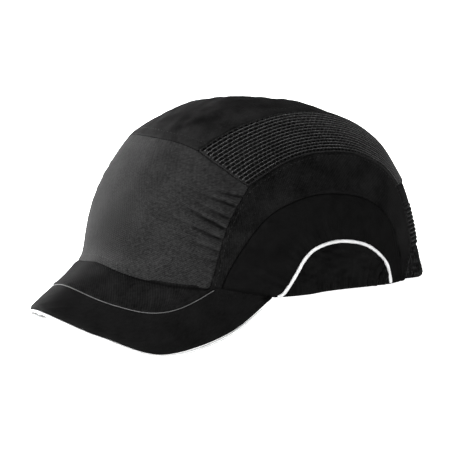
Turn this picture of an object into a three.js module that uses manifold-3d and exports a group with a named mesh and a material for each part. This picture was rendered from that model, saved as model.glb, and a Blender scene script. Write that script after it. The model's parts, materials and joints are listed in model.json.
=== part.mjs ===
// A baseball-style bump cap with a short peak: a sewn cover of separate panels over a
// moulded protective shell with foam pads, a stiffened peak, and a size strap with a clamp
// buckle across an opening at the back. Millimetres.
//
// Everything is drawn in the wearing frame: +Z up, -Y to the front, +X to the wearer's left,
// and z = 0 at the hem by the temples. The outer group then tips the cap back until it
// stands on a table, on its peak and its rear hem.
import * as THREE from "three";
import { mergeVertices } from "three/addons/utils/BufferGeometryUtils.js";
import Module from "manifold-3d";

const wasm = await Module();
wasm.setup();

// ---- driving dimensions -------------------------------------------------------------------
const CROWN_HEIGHT = 110; // hem datum to the top of the crown
const HALF_LENGTH = 108; // forehead to back, at the hem
const HALF_WIDTH = 87; // ear to ear, at the hem
const PLAN_POWER = 2.2; // superellipse power of each level section
const FRONT = { power: 2.6, taper: 0.07 }; // profile powers and how far each side leans in
const SIDE = { power: 2.9, taper: 0.08 };
const REAR = { power: 2.4, taper: -0.01 };
const NAPE_FLARE = { share: 0.1, fade: 14 }; // the back flares out just above the hem

const CLOTH = 1.2; // thickness of the sewn panels
const MESH_CLOTH = 2.0; // thickness of the ventilated spacer mesh
const SEAM_GAP = 0.4; // each panel stops this far short of its seam line
const HEM_TURN = 0.3; // the hem is turned up by this much below each panel's seam allowance
const EAR_SPAN = [0.05, 0.965]; // share of the piping's length that the ear panel fills
const PIPING_RADIUS = 1.25;
const PIPING_GAP = PIPING_RADIUS + 0.45; // panels stop this far from a piped or bound edge
const SHELL_OUT = -3.0; // depths below the cover's outer face
const SHELL_IN = -4.8;
const PAD_OUT = -6.6;
const PAD_IN = -11.4;
const BAND_FOOT = -2.2; // the sweatband starts against the cover and steps in past the shell
const BAND_STEP = 4.4;
const BAND_THICK = 2.4;
const BAND_HEIGHT = 27;
const ELASTIC = { out: -2.1, in: -3.3, low: 1.2, high: 9 };

const BOARD_THICK = 1.6; // peak stiffener
const PEAK_CLOTH = 1.0;
const PEAK_GAP = 0.68;
const BOARD_END = 0.955; // share of the peak's depth that the stiffener fills
const PEAK_ROOT = 0.015; // share of the peak's depth left free at the hem
const PEAK_END = 0.93; // the peak's outline closes short of its pointed ends
const INNER_ZONE_DEPTH = 0.53; // share of the peak's depth under the inner cover
const INNER_ZONE_END = 0.71; // where the inner cover's seam runs out into the hem
const INNER_COVER_END = 0.69;
const EDGE_PIPING = { radius: 1.1, out: 1.45, drop: -0.35 };

const NAPE_CENTRE_Y = 22; // rear bands and strap are turned about this upright axis
const NAPE_RADIUS = 90.2; // the cone's radius at z = 0
const NAPE_SLOPE = 0.13; // the cone narrows by this much per millimetre of height
const BAND_FROM = 20; // bearings of a rear band's ends, in degrees from the middle of the back
const BAND_TO = { low: 49, high: 39.2 };
const BAND_LOW = { z: 0.6, rise: 3.4, from: 0.55 }; // level, then rising towards the side band
const BAND_HIGH = 21.3;
const BAND_DEPTH = 6.0; // of its inner side, below the cone
const BAND_WALL = 0.9;
const BAND_SWELL = { height: 1.5, at: 44, spread: 6 }; // over the ends of the strap
const STRAP = { low: 4.2, high: 19.2, out: 1.75, thick: 1.5, from: -36.5, to: 36 };
const TAB = { out: 3.7, thick: 1.0, from: 15.2, to: 44.5 };
const BUCKLE_AT = 8; // degrees round from the middle of the back
const BUCKLE = { length: 19, base: 1.3, cheek: 1.2, overhang: 4.6, height: 18.8 };
const LEVER = { length: 20, thick: 1.7, pinRadius: 1.0, boreRadius: 1.09, cam: 2.1 };

const OPENING_HALF = 34; // arch opening above the strap
const OPENING_TOP = 40;
const YOKE_LOW = 47; // smooth strip across the back, over the nape mesh
const YOKE_HIGH = 60;
const YOKE_BEARING = 42; // half of its upper edge, in degrees round from the middle of the back
const NAPE_BEARING = 40.4; // half of the nape mesh's width
const CROWN_BEARING = 16; // half of the crown panel's width where it meets the yoke

// ---- materials ----------------------------------------------------------------------------
const finish = (color, roughness, metalness = 0) =>
  new THREE.MeshStandardMaterial({ color, roughness, metalness });
const frontCotton = finish(0x3a3a3a, 0.9);
const blackCotton = finish(0x1d1d1e, 0.9);
const bandCotton = finish(0x232324, 0.88);
const satin = finish(0x141414, 0.7);
const spacerMesh = finish(0x1a1a1a, 0.85);
const reflective = finish(0xb9babb, 0.45);
const webbing = finish(0x161617, 0.85);
const mouldedShell = finish(0x17181a, 0.45);
const foam = finish(0x26272a, 0.95);
const towelling = finish(0x2a2a2b, 1.0);
const buckleNylon = finish(0x121213, 0.4);
const pinSteel = finish(0x8d8f92, 0.3, 1.0);
const boardPlastic = finish(0x2c2d2f, 0.5);
const labelCloth = finish(0xe4e4e0, 0.8);

// ---- the crown surface --------------------------------------------------------------------
const V = (x, y, z) => new THREE.Vector3(x, y, z);
const rad = THREE.MathUtils.degToRad;
const eased = (t) => THREE.MathUtils.smoothstep(t, 0, 1);
const HEART = V(0, 0, 20); // every outward ray from here meets the crown once

function profile(size, shape, z) {
  const share = Math.max(0, z / CROWN_HEIGHT);
  const round = Math.pow(Math.max(0, 1 - Math.pow(share, shape.power)), 1 / shape.power);
  return size * round * (1 - (shape.taper * z) / CROWN_HEIGHT);
}

// Below 1 inside the crown, above 1 outside it.
function crownLevel(p) {
  if (p.z >= CROWN_HEIGHT) return 2;
  const flare = HALF_LENGTH * NAPE_FLARE.share * Math.exp(-Math.max(0, p.z) / NAPE_FLARE.fade);
  const depth =
    p.y < 0
      ? profile(HALF_LENGTH, FRONT, p.z)
      : profile(HALF_LENGTH, REAR, p.z) + flare;
  const width = profile(HALF_WIDTH, SIDE, p.z);
  return (
    Math.pow(Math.abs(p.x) / width, PLAN_POWER) +
    Math.pow(Math.abs(p.y) / depth, PLAN_POWER)
  );
}

// How many times as far from HEART as q the crown lies, on the same ray.
function reach(q) {
  const ray = q.clone().sub(HEART);
  let inside = 0;
  let outside = 4;
  for (let i = 0; i < 44; i++) {
    const middle = (inside + outside) / 2;
    if (crownLevel(HEART.clone().addScaledVector(ray, middle)) < 1) inside = middle;
    else outside = middle;
  }
  return inside;
}

const onCrown = (q) => HEART.clone().addScaledVector(q.clone().sub(HEART), reach(q));

// The crown's point at a height, on a bearing in degrees round from the middle of the back.
function atHeight(bearing, z) {
  let inside = 0;
  let outside = 2 * HALF_LENGTH;
  const at = (r) => V(r * Math.sin(rad(bearing)), r * Math.cos(rad(bearing)), z);
  for (let i = 0; i < 44; i++) {
    const middle = (inside + outside) / 2;
    if (crownLevel(at(middle)) < 1) inside = middle;
    else outside = middle;
  }
  return at(inside);
}

// A level line round the back, from one bearing to another.
const levelLine = (from, to, z) => (t) => atHeight(from + (to - from) * t, z);

function crownNormal(p) {
  const step = 0.2;
  const slope = (axis) =>
    reach(p.clone().addScaledVector(axis, -step)) - reach(p.clone().addScaledVector(axis, step));
  return V(slope(V(1, 0, 0)), slope(V(0, 1, 0)), slope(V(0, 0, 1))).normalize();
}

// The crown's surface moved out by depth, which is negative towards the head.
function crownPoint(q, depth) {
  const p = onCrown(q);
  return p.addScaledVector(crownNormal(p), depth);
}

// ---- seam lines, for the wearer's left ------------------------------------------------------
const curve = (...points) =>
  new THREE.CatmullRomCurve3(points.map((p) => V(...p)), false, "catmullrom", 0.5);
const along = (line) => (t) => line.getPointAt(THREE.MathUtils.clamp(t, 0, 1));
const mirrored = ([x, y, z]) => [-x, y, z];
const bothSides = (half) => [...half.slice(1).map(mirrored).reverse(), ...half];

const HEM_FRONT = [[0, -108, 10.5], [24, -105, 8], [44, -96.5, 5.5], [58, -86, 4.5], [68, -72, 4.3]];
const HEM_EAR = [[84, -35, 0], [87, -13, 1], [87, -2, 2.2], [86, 15, 3], [84, 36, 3], [80, 50.5, 3]];
const FRONT_CORNER = [67.5, -47, 63.5];
const CROWN_CORNER = [41, -66, 82.5];
const FRONT_SIDE = [
  [68, -72, 4.3], [68.5, -68, 17], [69, -65, 30], [69, -61, 42], [69, -55, 53], FRONT_CORNER,
];
const MESH_FRONT = [FRONT_CORNER, [62.5, -53, 68], [57, -58, 73], [50, -63, 78], CROWN_CORNER];
const CROWN_FRONT = [[0, -75, 87.5], [8, -75, 87.5], [20, -73, 87], [31, -70, 85.5], CROWN_CORNER];
const CROWN_SIDE = [
  CROWN_CORNER, [43, -46, 94], [43, -28, 100], [41, -5, 105],
  [38, 20, 106], [34, 48, 101], [30, 76, 84], atHeight(CROWN_BEARING, YOKE_HIGH).toArray(),
];
const BAND_TOP = [
  FRONT_CORNER, [69, -34, 72], [68, -17, 79], [67.5, -2, 82.3], [67, 10, 83],
  [66, 20, 82.8], [64, 33, 80.5], [62.5, 45, 76], [61, 55, 71],
  atHeight(YOKE_BEARING, YOKE_HIGH).toArray(),
];
const BAND_BACK = [
  BAND_TOP.at(-1), atHeight(40.7, 53).toArray(), atHeight(40, 42).toArray(),
  atHeight(39.8, 33).toArray(),
  atHeight(40.3, 22).toArray(), atHeight(44.8, 13).toArray(), atHeight(49.4, 3.4).toArray(),
];
const ARCH = [
  [71, -66, 3.6], [73, -61, 17], [76, -49, 36], [77, -37, 48], [78, -21, 55.5], [78, -4, 59],
  [78, 13, 59], [76.5, 32, 55], [75, 46, 47], [74, 56, 35], [74, 61, 21], [76, 61.5, 3.5],
];
const PIPING = [
  [84, -35, 0], [84, -30, 3], [85, -23, 13], [85, -17, 22], [84, -9, 28], [84, 4, 31.3],
  [84, 17, 31], [82, 29, 28], [81, 40, 22], [80, 48, 14], [80, 50.5, 3],
];

// ---- solids from curved patches -----------------------------------------------------------
// A closed solid from an outer and an inner grid of points, joined by walls round the edge.
function gridSolid(outerAt, innerAt, columns, rows) {
  const position = [];
  const triangles = [];
  const layer = (columns + 1) * (rows + 1);
  for (const at of [outerAt, innerAt])
    for (let j = 0; j <= rows; j++)
      for (let i = 0; i <= columns; i++) position.push(...at(i / columns, j / rows).toArray());
  const corner = (i, j, deep) => j * (columns + 1) + i + (deep ? layer : 0);
  const quad = (a, b, c, d) => triangles.push(a, b, c, a, c, d);
  for (let j = 0; j < rows; j++)
    for (let i = 0; i < columns; i++) {
      const around = [[i, j], [i + 1, j], [i + 1, j + 1], [i, j + 1]];
      quad(...around.map(([x, y]) => corner(x, y, false)));
      quad(...around.map(([x, y]) => corner(x, y, true)).reverse());
    }
  const wall = (a, b) =>
    quad(corner(...b, false), corner(...a, false), corner(...a, true), corner(...b, true));
  for (let i = 0; i < columns; i++) {
    wall([i, 0], [i + 1, 0]);
    wall([i + 1, rows], [i, rows]);
  }
  for (let j = 0; j < rows; j++) {
    wall([0, j + 1], [0, j]);
    wall([columns, j], [columns, j + 1]);
  }
  return facingOut(position, triangles);
}

// A BufferGeometry whose faces point out, whichever way its grid was drawn.
function facingOut(position, triangles) {
  const at = (i) => V(...position.slice(3 * i, 3 * i + 3));
  let volume = 0;
  for (let t = 0; t < triangles.length; t += 3)
    volume += at(triangles[t]).dot(at(triangles[t + 1]).cross(at(triangles[t + 2])));
  if (volume < 0)
    for (let t = 0; t < triangles.length; t += 3)
      [triangles[t + 1], triangles[t + 2]] = [triangles[t + 2], triangles[t + 1]];
  return new THREE.BufferGeometry()
    .setAttribute("position", new THREE.BufferAttribute(new Float32Array(position), 3))
    .setIndex(triangles);
}

// A four-sided patch between boundary lines that meet at their ends, blended across.
function blend(low, high, start, end) {
  return (u, v) => {
    const sides = start(v).multiplyScalar(1 - u).addScaledVector(end(v), u);
    const rails = low(u).multiplyScalar(1 - v).addScaledVector(high(u), v);
    const corners = low(0).multiplyScalar((1 - u) * (1 - v));
    corners.addScaledVector(low(1), u * (1 - v));
    corners.addScaledVector(high(0), (1 - u) * v).addScaledVector(high(1), u * v);
    return sides.add(rails).sub(corners);
  };
}

const straight = (a, b) => (t) => a.clone().lerp(b, t);

const ruled = (low, high) => (u, v) => low(u).lerp(high(u), v);

// Length of a line, from a few chords.
function lengthOf(at) {
  const chords = [0, 1, 2, 3, 4, 5].map((i) => at(i / 6).distanceTo(at((i + 1) / 6)));
  return chords.reduce((sum, chord) => sum + chord);
}

// The same patch drawn in from its four edges: gaps are in millimetres, as [start, end].
function inset(patch, acrossGaps, upGaps) {
  const between = ([start, end], length, t) => (start + (length - start - end) * t) / length;
  return (u, v) => {
    const across = between(acrossGaps, lengthOf((t) => patch(t, v)), u);
    const up = between(upGaps, lengthOf((t) => patch(u, t)), v);
    return patch(across, up);
  };
}

// A line moved sideways over the crown: positive is to its left, seen from outside.
function beside(at, distance) {
  return (t) => {
    const [a, b] = [at(Math.max(0, t - 0.01)), at(Math.min(1, t + 0.01))];
    const p = at(t);
    return p.addScaledVector(crownNormal(p).cross(b.sub(a)).normalize(), distance);
  };
}

// A cover panel: the patch laid on the crown and given a thickness inwards.
function panel(patch, columns, rows, outer = 0, thickness = CLOTH) {
  const layer = (depth) => (u, v) => crownPoint(patch(u, v), depth);
  return gridSolid(layer(outer), layer(outer - thickness), columns, rows);
}

const seam = [SEAM_GAP, SEAM_GAP];

// ---- cover panels ---------------------------------------------------------------------------
const line = (points) => along(curve(...points));
const reversed = (f) => (t) => f(1 - t);

function frontPanel() {
  const side = line(FRONT_SIDE);
  const otherSide = line(FRONT_SIDE.map(mirrored));
  const meshEdge = curve(...MESH_FRONT);
  const crownEdge = curve(...bothSides(CROWN_FRONT));
  const otherMeshEdge = curve(...MESH_FRONT.map(mirrored));
  const lengths = [meshEdge.getLength(), crownEdge.getLength()];
  const corner = lengths[0] / (2 * lengths[0] + lengths[1]);
  const top = (u) => {
    if (u < corner) return otherMeshEdge.getPointAt(u / corner);
    if (u > 1 - corner) return meshEdge.getPointAt((1 - u) / corner);
    return crownEdge.getPointAt((u - corner) / (1 - 2 * corner));
  };
  const patch = blend(line(bothSides(HEM_FRONT)), top, otherSide, side);
  return panel(inset(patch, seam, seam), 16, 8);
}

function crownPanel() {
  const front = line(bothSides(CROWN_FRONT));
  const back = levelLine(-CROWN_BEARING, CROWN_BEARING, YOKE_HIGH);
  const patch = blend(front, back, line(CROWN_SIDE.map(mirrored)), line(CROWN_SIDE));
  return panel(inset(patch, seam, seam), 8, 14);
}

function meshPanel() {
  const back = levelLine(YOKE_BEARING, CROWN_BEARING, YOKE_HIGH);
  const patch = blend(line(BAND_TOP), line(CROWN_SIDE), line(MESH_FRONT), back);
  return panel(inset(patch, seam, seam), 14, 5, 0, MESH_CLOTH);
}

function sideBand() {
  const outer = line([...FRONT_SIDE, ...BAND_TOP.slice(1), ...BAND_BACK.slice(1)]);
  const patch = ruled(beside(line(ARCH), SEAM_GAP), beside(outer, -SEAM_GAP));
  return panel(inset(patch, [HEM_TURN, HEM_TURN], [0, 0]), 30, 2);
}

function archPanel() {
  const patch = ruled(beside(line(PIPING), PIPING_GAP), beside(line(ARCH), -SEAM_GAP));
  return panel(inset(patch, [HEM_TURN, HEM_TURN], [0, 0]), 24, 3);
}

// The gathered panel over the ear, from the hem up to the piping.
function earPanel() {
  const [first, last] = EAR_SPAN;
  const high = beside(line(PIPING), -PIPING_GAP);
  const patch = ruled(line(HEM_EAR), high);
  return panel((u, v) => patch(first + (last - first) * u, v), 16, 3);
}

function earElastic() {
  const low = line(HEM_EAR);
  const edge = (lift) => (u) => low(0.14 + 0.72 * u).add(V(0, 0, lift));
  const patch = blend(
    edge(ELASTIC.low), edge(ELASTIC.high),
    straight(edge(ELASTIC.low)(0), edge(ELASTIC.high)(0)),
    straight(edge(ELASTIC.low)(1), edge(ELASTIC.high)(1)),
  );
  return panel(patch, 8, 1, ELASTIC.out, ELASTIC.out - ELASTIC.in);
}

function cordAlong(route, radius, steps, sides) {
  const section = new THREE.Shape();
  section.absarc(0, 0, radius, 0, 2 * Math.PI, false);
  const options = { steps, curveSegments: sides / 2, extrudePath: route };
  return new THREE.ExtrudeGeometry(section, options);
}

// A round cord lying in the surface along a line of the crown.
function surfaceCord(at, radius, steps, sides) {
  class Route extends THREE.Curve {
    getPoint(t) {
      return crownPoint(at(t), 0.2);
    }
  }
  return cordAlong(new Route(), radius, steps, sides);
}

const piping = () => surfaceCord((t) => line(PIPING)(0.012 + 0.976 * t), PIPING_RADIUS, 26, 8);

// ---- back of the cap ------------------------------------------------------------------------
const NAPE_GAPS = [1.2, 1.2]; // the yoke and the nape mesh stop this far inside their bearings

function rearYoke() {
  const low = levelLine(-NAPE_BEARING, NAPE_BEARING, YOKE_LOW);
  const high = levelLine(-YOKE_BEARING, YOKE_BEARING, YOKE_HIGH);
  return panel(inset(ruled(low, high), NAPE_GAPS, seam), 16, 2);
}

// Height of the nape mesh's lower edge: level over the bands, arched over the opening.
function openingEdge(x) {
  const share = Math.min(1, Math.abs(x) / OPENING_HALF);
  const arch = (OPENING_TOP - BAND_HIGH) * Math.sqrt(1 - share * share);
  return BAND_HIGH + 0.7 + arch;
}

// The arch as a line on the crown, from the wearer's right to the left.
function openingArch(t) {
  const x = -OPENING_HALF * Math.cos(Math.PI * t);
  return onCrown(V(x, 100, openingEdge(x)));
}

function rearMesh() {
  const flat = 0.2; // share of the lower edge on each side that lies over a band
  const bound = beside(openingArch, -PIPING_GAP - 0.15);
  const low = (u) => {
    const side = u < 0.5 ? -1 : 1;
    const foot = atHeight(side * NAPE_BEARING, BAND_HIGH + 0.9);
    if (u < flat) return foot.lerp(bound(0), u / flat);
    if (u > 1 - flat) return foot.lerp(bound(1), (1 - u) / flat);
    return bound((u - flat) / (1 - 2 * flat));
  };
  const high = levelLine(-NAPE_BEARING, NAPE_BEARING, YOKE_LOW);
  return panel(inset(ruled(low, high), NAPE_GAPS, [0, SEAM_GAP]), 20, 2, 0, MESH_CLOTH);
}

const rearBinding = () => surfaceCord(openingArch, PIPING_RADIUS + 0.1, 16, 8);

// A point moved to another radius from the upright nape axis: radius is told the point's own
// radius and the cone's.
function fromNape(p, radius) {
  const [x, y] = [p.x, p.y - NAPE_CENTRE_Y];
  const own = Math.hypot(x, y);
  const scale = radius(own, NAPE_RADIUS - NAPE_SLOPE * p.z) / own;
  return V(x * scale, NAPE_CENTRE_Y + y * scale, p.z);
}

// A block bent round the upright axis of the nape cone. Radii are depths below the cone.
function napeBlock(from, to, low, high, shallow, deep, steps) {
  const layer = (depth) => (u, v) => {
    const angle = rad(from + (to - from) * u);
    const z = low + (high - low) * v;
    const r = NAPE_RADIUS - NAPE_SLOPE * z - depth;
    return V(r * Math.sin(angle), NAPE_CENTRE_Y + r * Math.cos(angle), z);
  };
  return gridSolid(layer(shallow), layer(deep), steps, 1);
}

// A sleeve of gathered mesh, open towards the middle of the back, that takes the strap. It
// lies on the crown from the opening (round = 0) to the side band (round = 1).
function rearBand(side) {
  const at = (round, up, wall) => {
    const past = (round - BAND_LOW.from) / (1 - BAND_LOW.from);
    const low = BAND_LOW.z + BAND_LOW.rise * eased(past) + wall;
    const z = low + (BAND_HIGH - wall - low) * up;
    const share = (z - BAND_LOW.z) / (BAND_HIGH - BAND_LOW.z);
    const end = BAND_TO.low + (BAND_TO.high - BAND_TO.low) * share;
    return atHeight(side * (BAND_FROM + (end - BAND_FROM) * round), z);
  };
  const outerLayer = (from, to, wall) => (u, v) => {
    const p = at(from + (to - from) * u, v, wall);
    const turn = Math.atan2(Math.abs(p.x), p.y - NAPE_CENTRE_Y);
    const swell = Math.exp(-(((turn - rad(BAND_SWELL.at)) / rad(BAND_SWELL.spread)) ** 2));
    return fromNape(p, (r) => r + BAND_SWELL.height * swell - wall);
  };
  const innerLayer = (from, to, wall) => (u, v) =>
    fromNape(at(from + (to - from) * u, v, wall), (_, cone) => cone - BAND_DEPTH + wall);
  const block = (from, to, wall) =>
    gridSolid(outerLayer(from, to, wall), innerLayer(from, to, wall), 9, 3);
  return cut(block(0, 1, 0), block(-0.1, 0.95, BAND_WALL));
}

const strap = () =>
  napeBlock(STRAP.from, STRAP.to, STRAP.low, STRAP.high, STRAP.out, STRAP.out + STRAP.thick, 16);
const buckleTab = () =>
  napeBlock(TAB.from, TAB.to, STRAP.low, STRAP.high, TAB.out, TAB.out + TAB.thick, 6);

// ---- booleans -------------------------------------------------------------------------------
function solid(geometry) {
  const bare = new THREE.BufferGeometry()
    .setAttribute("position", geometry.getAttribute("position"))
    .setIndex(geometry.index);
  const merged = mergeVertices(bare, 1e-4);
  const mesh = { numProp: 3, vertProperties: merged.attributes.position.array };
  return new wasm.Manifold(
    new wasm.Mesh({ ...mesh, triVerts: new Uint32Array(merged.index.array) }),
  );
}

function geometryOf(made) {
  const { numProp, vertProperties, triVerts } = made.getMesh();
  const position = new Float32Array((vertProperties.length / numProp) * 3);
  for (let i = 0; i < position.length / 3; i++)
    position.set(vertProperties.subarray(i * numProp, i * numProp + 3), i * 3);
  return new THREE.BufferGeometry()
    .setAttribute("position", new THREE.BufferAttribute(position, 3))
    .setIndex(new THREE.BufferAttribute(triVerts, 1));
}

const cut = (body, ...tools) =>
  geometryOf(tools.reduce((left, tool) => left.subtract(solid(tool)), solid(body)));

// ---- inside the cover -----------------------------------------------------------------------
const direction = (angle, z) => V(100 * Math.sin(rad(angle)), -100 * Math.cos(rad(angle)), z);

// The shell's lower edge rises from the forehead, over the ears, to the back.
const shellEdge = (angle) => 20 + 32 * eased((Math.abs(angle) - 40) / 100);

function dome(segments, rings, depth) {
  const points = [];
  for (let j = 0; j < rings; j++)
    for (let i = 0; i < segments; i++) {
      const angle = (360 * i) / segments - 180;
      const rim = onCrown(direction(angle, shellEdge(angle)));
      const rise = Math.atan2(rim.z - HEART.z, Math.hypot(rim.x, rim.y));
      const lift = rise + ((Math.PI / 2 - rise) * j) / rings;
      const out = V(rim.x, rim.y, 0).normalize().multiplyScalar(Math.cos(lift));
      points.push(crownPoint(HEART.clone().addScaledVector(out.setZ(Math.sin(lift)), 50), depth));
    }
  points.push(V(0, 0, CROWN_HEIGHT + depth));
  return points;
}

function protectiveShell() {
  const [segments, rings] = [40, 9];
  const outer = dome(segments, rings, SHELL_OUT);
  const inner = dome(segments, rings, SHELL_IN);
  const crest = segments * rings; // the point at the very top
  const triangles = [];
  const add = (layer, ...corners) => {
    const shifted = corners.map((corner) => corner + layer * outer.length);
    triangles.push(...(layer ? shifted.reverse() : shifted));
  };
  for (let i = 0; i < segments; i++) {
    const next = (i + 1) % segments;
    for (const layer of [0, 1]) {
      for (let row = 0; row < crest - segments; row += segments) {
        add(layer, row + i, row + next, row + segments + next);
        add(layer, row + i, row + segments + next, row + segments + i);
      }
      add(layer, crest - segments + i, crest - segments + next, crest);
    }
    triangles.push(next, i, i + outer.length);
    triangles.push(next, i + outer.length, next + outer.length);
  }
  const position = [...outer, ...inner].flatMap((p) => p.toArray());
  return facingOut(position, triangles);
}

// A foam pad between two angles and two heights on the crown.
function wallPad(from, to, low, high) {
  const patch = (u, v) => onCrown(direction(from + (to - from) * u, low + (high - low) * v));
  return panel(patch, 7, 3, PAD_OUT, PAD_OUT - PAD_IN);
}

function crownPad() {
  const patch = (u, v) => V(-27 + 54 * u, -44 + 88 * v, CROWN_HEIGHT);
  return panel(patch, 4, 7, PAD_OUT, PAD_OUT - PAD_IN);
}

function sweatband() {
  const [halfAngle, foot] = [60, 0.32];
  const at = (extra) => (u, v) => {
    const angle = halfAngle * (2 * u - 1);
    const start = onCrown(direction(angle, 4.5 + 6 * Math.cos(rad(angle * 1.5)) ** 2));
    const depth = BAND_FOOT - BAND_STEP * eased(v / foot) - extra;
    return crownPoint(start.add(V(0, 0, 0.6 + BAND_HEIGHT * v)), depth);
  };
  return gridSolid(at(0), at(BAND_THICK), 16, 4);
}

function careLabel() {
  const patch = (u, v) => onCrown(direction(118 + 14 * u, 10 + 20 * v));
  return panel(patch, 3, 2, -2.6, 0.5);
}

// ---- peak -----------------------------------------------------------------------------------
const PEAK_ROOT_LINE = line(
  bothSides([...HEM_FRONT, [75, -60, 2.8], [80, -49, 1.2], [83.5, -38, 0]]),
);
const PEAK_EDGE_LINE = line(
  bothSides([
    [0, -146, -14.6], [32, -135.3, -20.6], [42.5, -128, -23.6], [68.5, -102.8, -31.2],
    [77, -65.5, -21.2], [83.5, -38, 0],
  ]),
);

// s runs from -1 at the right temple to 1 at the left, v from the hem out to the edge.
function peakPoint(s, v, lift) {
  const at = (side, out) =>
    PEAK_ROOT_LINE((side + 1) / 2).lerp(PEAK_EDGE_LINE((side + 1) / 2), out);
  const step = 0.01;
  const across = at(s + step, v).sub(at(s - step, v));
  const forward = at(s, v + step).sub(at(s, v - step));
  return at(s, v).addScaledVector(forward.cross(across).normalize(), lift);
}

const innerZone = (s) => {
  const share = Math.min(1, Math.abs(s) / INNER_ZONE_END);
  return INNER_ZONE_DEPTH * (1 - Math.pow(share, 4.1));
};

function peakLayer(halfSpan, from, to, bottom, top, columns, rows) {
  const layer = (lift) => (u, v) => {
    const s = halfSpan * (2 * u - 1);
    return peakPoint(s, from(s) + (to(s) - from(s)) * v, lift);
  };
  return gridSolid(layer(top), layer(bottom), columns, rows);
}

const boardHalf = BOARD_THICK / 2;
const coverLow = boardHalf + PEAK_GAP;
const root = () => PEAK_ROOT;
const rim = () => 1;
const peakBoard = () => peakLayer(PEAK_END, root, () => BOARD_END, -boardHalf, boardHalf, 36, 4);
const peakUnderCover = () =>
  peakLayer(PEAK_END, root, rim, -coverLow - PEAK_CLOTH, -coverLow, 36, 4);
const peakInnerCover = () =>
  peakLayer(
    INNER_COVER_END, root, (s) => innerZone(s) - 0.008, coverLow, coverLow + PEAK_CLOTH, 22, 2,
  );
const peakOuterCover = () =>
  peakLayer(
    PEAK_END, (s) => Math.max(PEAK_ROOT, innerZone(s) + 0.008), rim,
    coverLow, coverLow + PEAK_CLOTH, 36, 3,
  );

// The reflective cord sewn in round the edge, between the outer and the under cover.
function peakPiping() {
  const { radius, out, drop } = EDGE_PIPING;
  class Route extends THREE.Curve {
    getPoint(t) {
      const s = PEAK_END * (2 * t - 1);
      const edge = peakPoint(s, 1, drop);
      const outward = edge.clone().sub(peakPoint(s, 0.9, drop)).normalize();
      return edge.addScaledVector(outward, out);
    }
  }
  return cordAlong(new Route(), radius, 60, 8);
}

// ---- buckle ---------------------------------------------------------------------------------
// Drawn flat: x along the strap towards the wearer's left, y away from the head, z up the
// strap's width, with the strap's outer face at y = 0.
const LEVER_PIN = { x: 6.2, y: 2.2 };
const STRAP_MIDDLE = (STRAP.low + STRAP.high) / 2;

function box(x0, x1, y0, y1, z0, z1) {
  const made = new THREE.BoxGeometry(x1 - x0, y1 - y0, z1 - z0);
  return made.translate((x0 + x1) / 2, (y0 + y1) / 2, (z0 + z1) / 2);
}

function uprightRod(radius, length, sides) {
  return new THREE.CylinderGeometry(radius, radius, length, sides)
    .rotateX(Math.PI / 2)
    .translate(LEVER_PIN.x, LEVER_PIN.y, 0);
}

function buckleBody() {
  const [half, top] = [BUCKLE.length / 2, BUCKLE.height / 2];
  const under = -STRAP.thick - 1.1;
  const inside = top - BUCKLE.cheek;
  const frame = box(-half, half, under - BUCKLE.base, BUCKLE.overhang, -top, top);
  const channel = box(-half - 1, half + 1, under, BUCKLE.overhang + 1, -inside, inside);
  return cut(frame, channel, uprightRod(LEVER.boreRadius, 2 * BUCKLE.height, 24));
}

function leverPin() {
  return uprightRod(LEVER.pinRadius, BUCKLE.height - 0.2, 24);
}

function buckleLever() {
  const outline = new THREE.Shape();
  const { x, y } = LEVER_PIN;
  const face = y + LEVER.thick / 2 + 0.5;
  outline.moveTo(x + LEVER.cam, y);
  outline.absarc(x, y, LEVER.cam, 0, Math.PI / 2, false);
  outline.lineTo(x - LEVER.length + 4, face);
  outline.lineTo(x - LEVER.length, face + 1.2);
  outline.lineTo(x - LEVER.length - 0.6, face + 0.2);
  outline.lineTo(x - LEVER.length + 3, face - LEVER.thick);
  outline.lineTo(x - LEVER.cam - 0.8, face - LEVER.thick);
  outline.absarc(x, y, LEVER.cam, Math.PI * 1.1, 2 * Math.PI, false);
  const bore = new THREE.Path();
  bore.absarc(x, y, LEVER.boreRadius, 0, 2 * Math.PI, true);
  outline.holes.push(bore);
  const width = BUCKLE.height - 2 * BUCKLE.cheek - 0.8;
  const options = { depth: width, bevelEnabled: false, curveSegments: 12 };
  return new THREE.ExtrudeGeometry(outline, options).translate(0, 0, -width / 2);
}

// ---- assembly -------------------------------------------------------------------------------
const cap = new THREE.Group();

function add(parent, name, geometry, material, mirror = false) {
  const mesh = new THREE.Mesh(geometry, material);
  mesh.name = name;
  if (mirror) mesh.scale.x = -1;
  parent.add(mesh);
}

function addPair(name, geometry, material) {
  add(cap, name + "_left", geometry, material);
  add(cap, name + "_right", geometry, material, true);
}

add(cap, "front_panel", frontPanel(), frontCotton);
add(cap, "crown_panel", crownPanel(), blackCotton);
addPair("mesh_panel", meshPanel(), spacerMesh);
addPair("side_band", sideBand(), bandCotton);
addPair("arch_panel", archPanel(), satin);
addPair("ear_panel", earPanel(), satin);
addPair("ear_elastic", earElastic(), webbing);
addPair("piping", piping(), reflective);
add(cap, "rear_yoke", rearYoke(), bandCotton);
add(cap, "rear_mesh_panel", rearMesh(), spacerMesh);
add(cap, "rear_binding", rearBinding(), blackCotton);
add(cap, "rear_band_left", rearBand(1), spacerMesh);
add(cap, "rear_band_right", rearBand(-1), spacerMesh);
add(cap, "sweatband", sweatband(), towelling);
add(cap, "protective_shell", protectiveShell(), mouldedShell);
add(cap, "front_pad", wallPad(-42, 42, 41, 66), foam);
add(cap, "rear_pad", wallPad(148, 212, 58, 84), foam);
addPair("side_pad", wallPad(62, 122, 46, 72), foam);
add(cap, "crown_pad", crownPad(), foam);
add(cap, "care_label", careLabel(), labelCloth);
add(cap, "peak_board", peakBoard(), boardPlastic);
add(cap, "peak_inner_cover", peakInnerCover(), bandCotton);
add(cap, "peak_outer_cover", peakOuterCover(), blackCotton);
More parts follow.
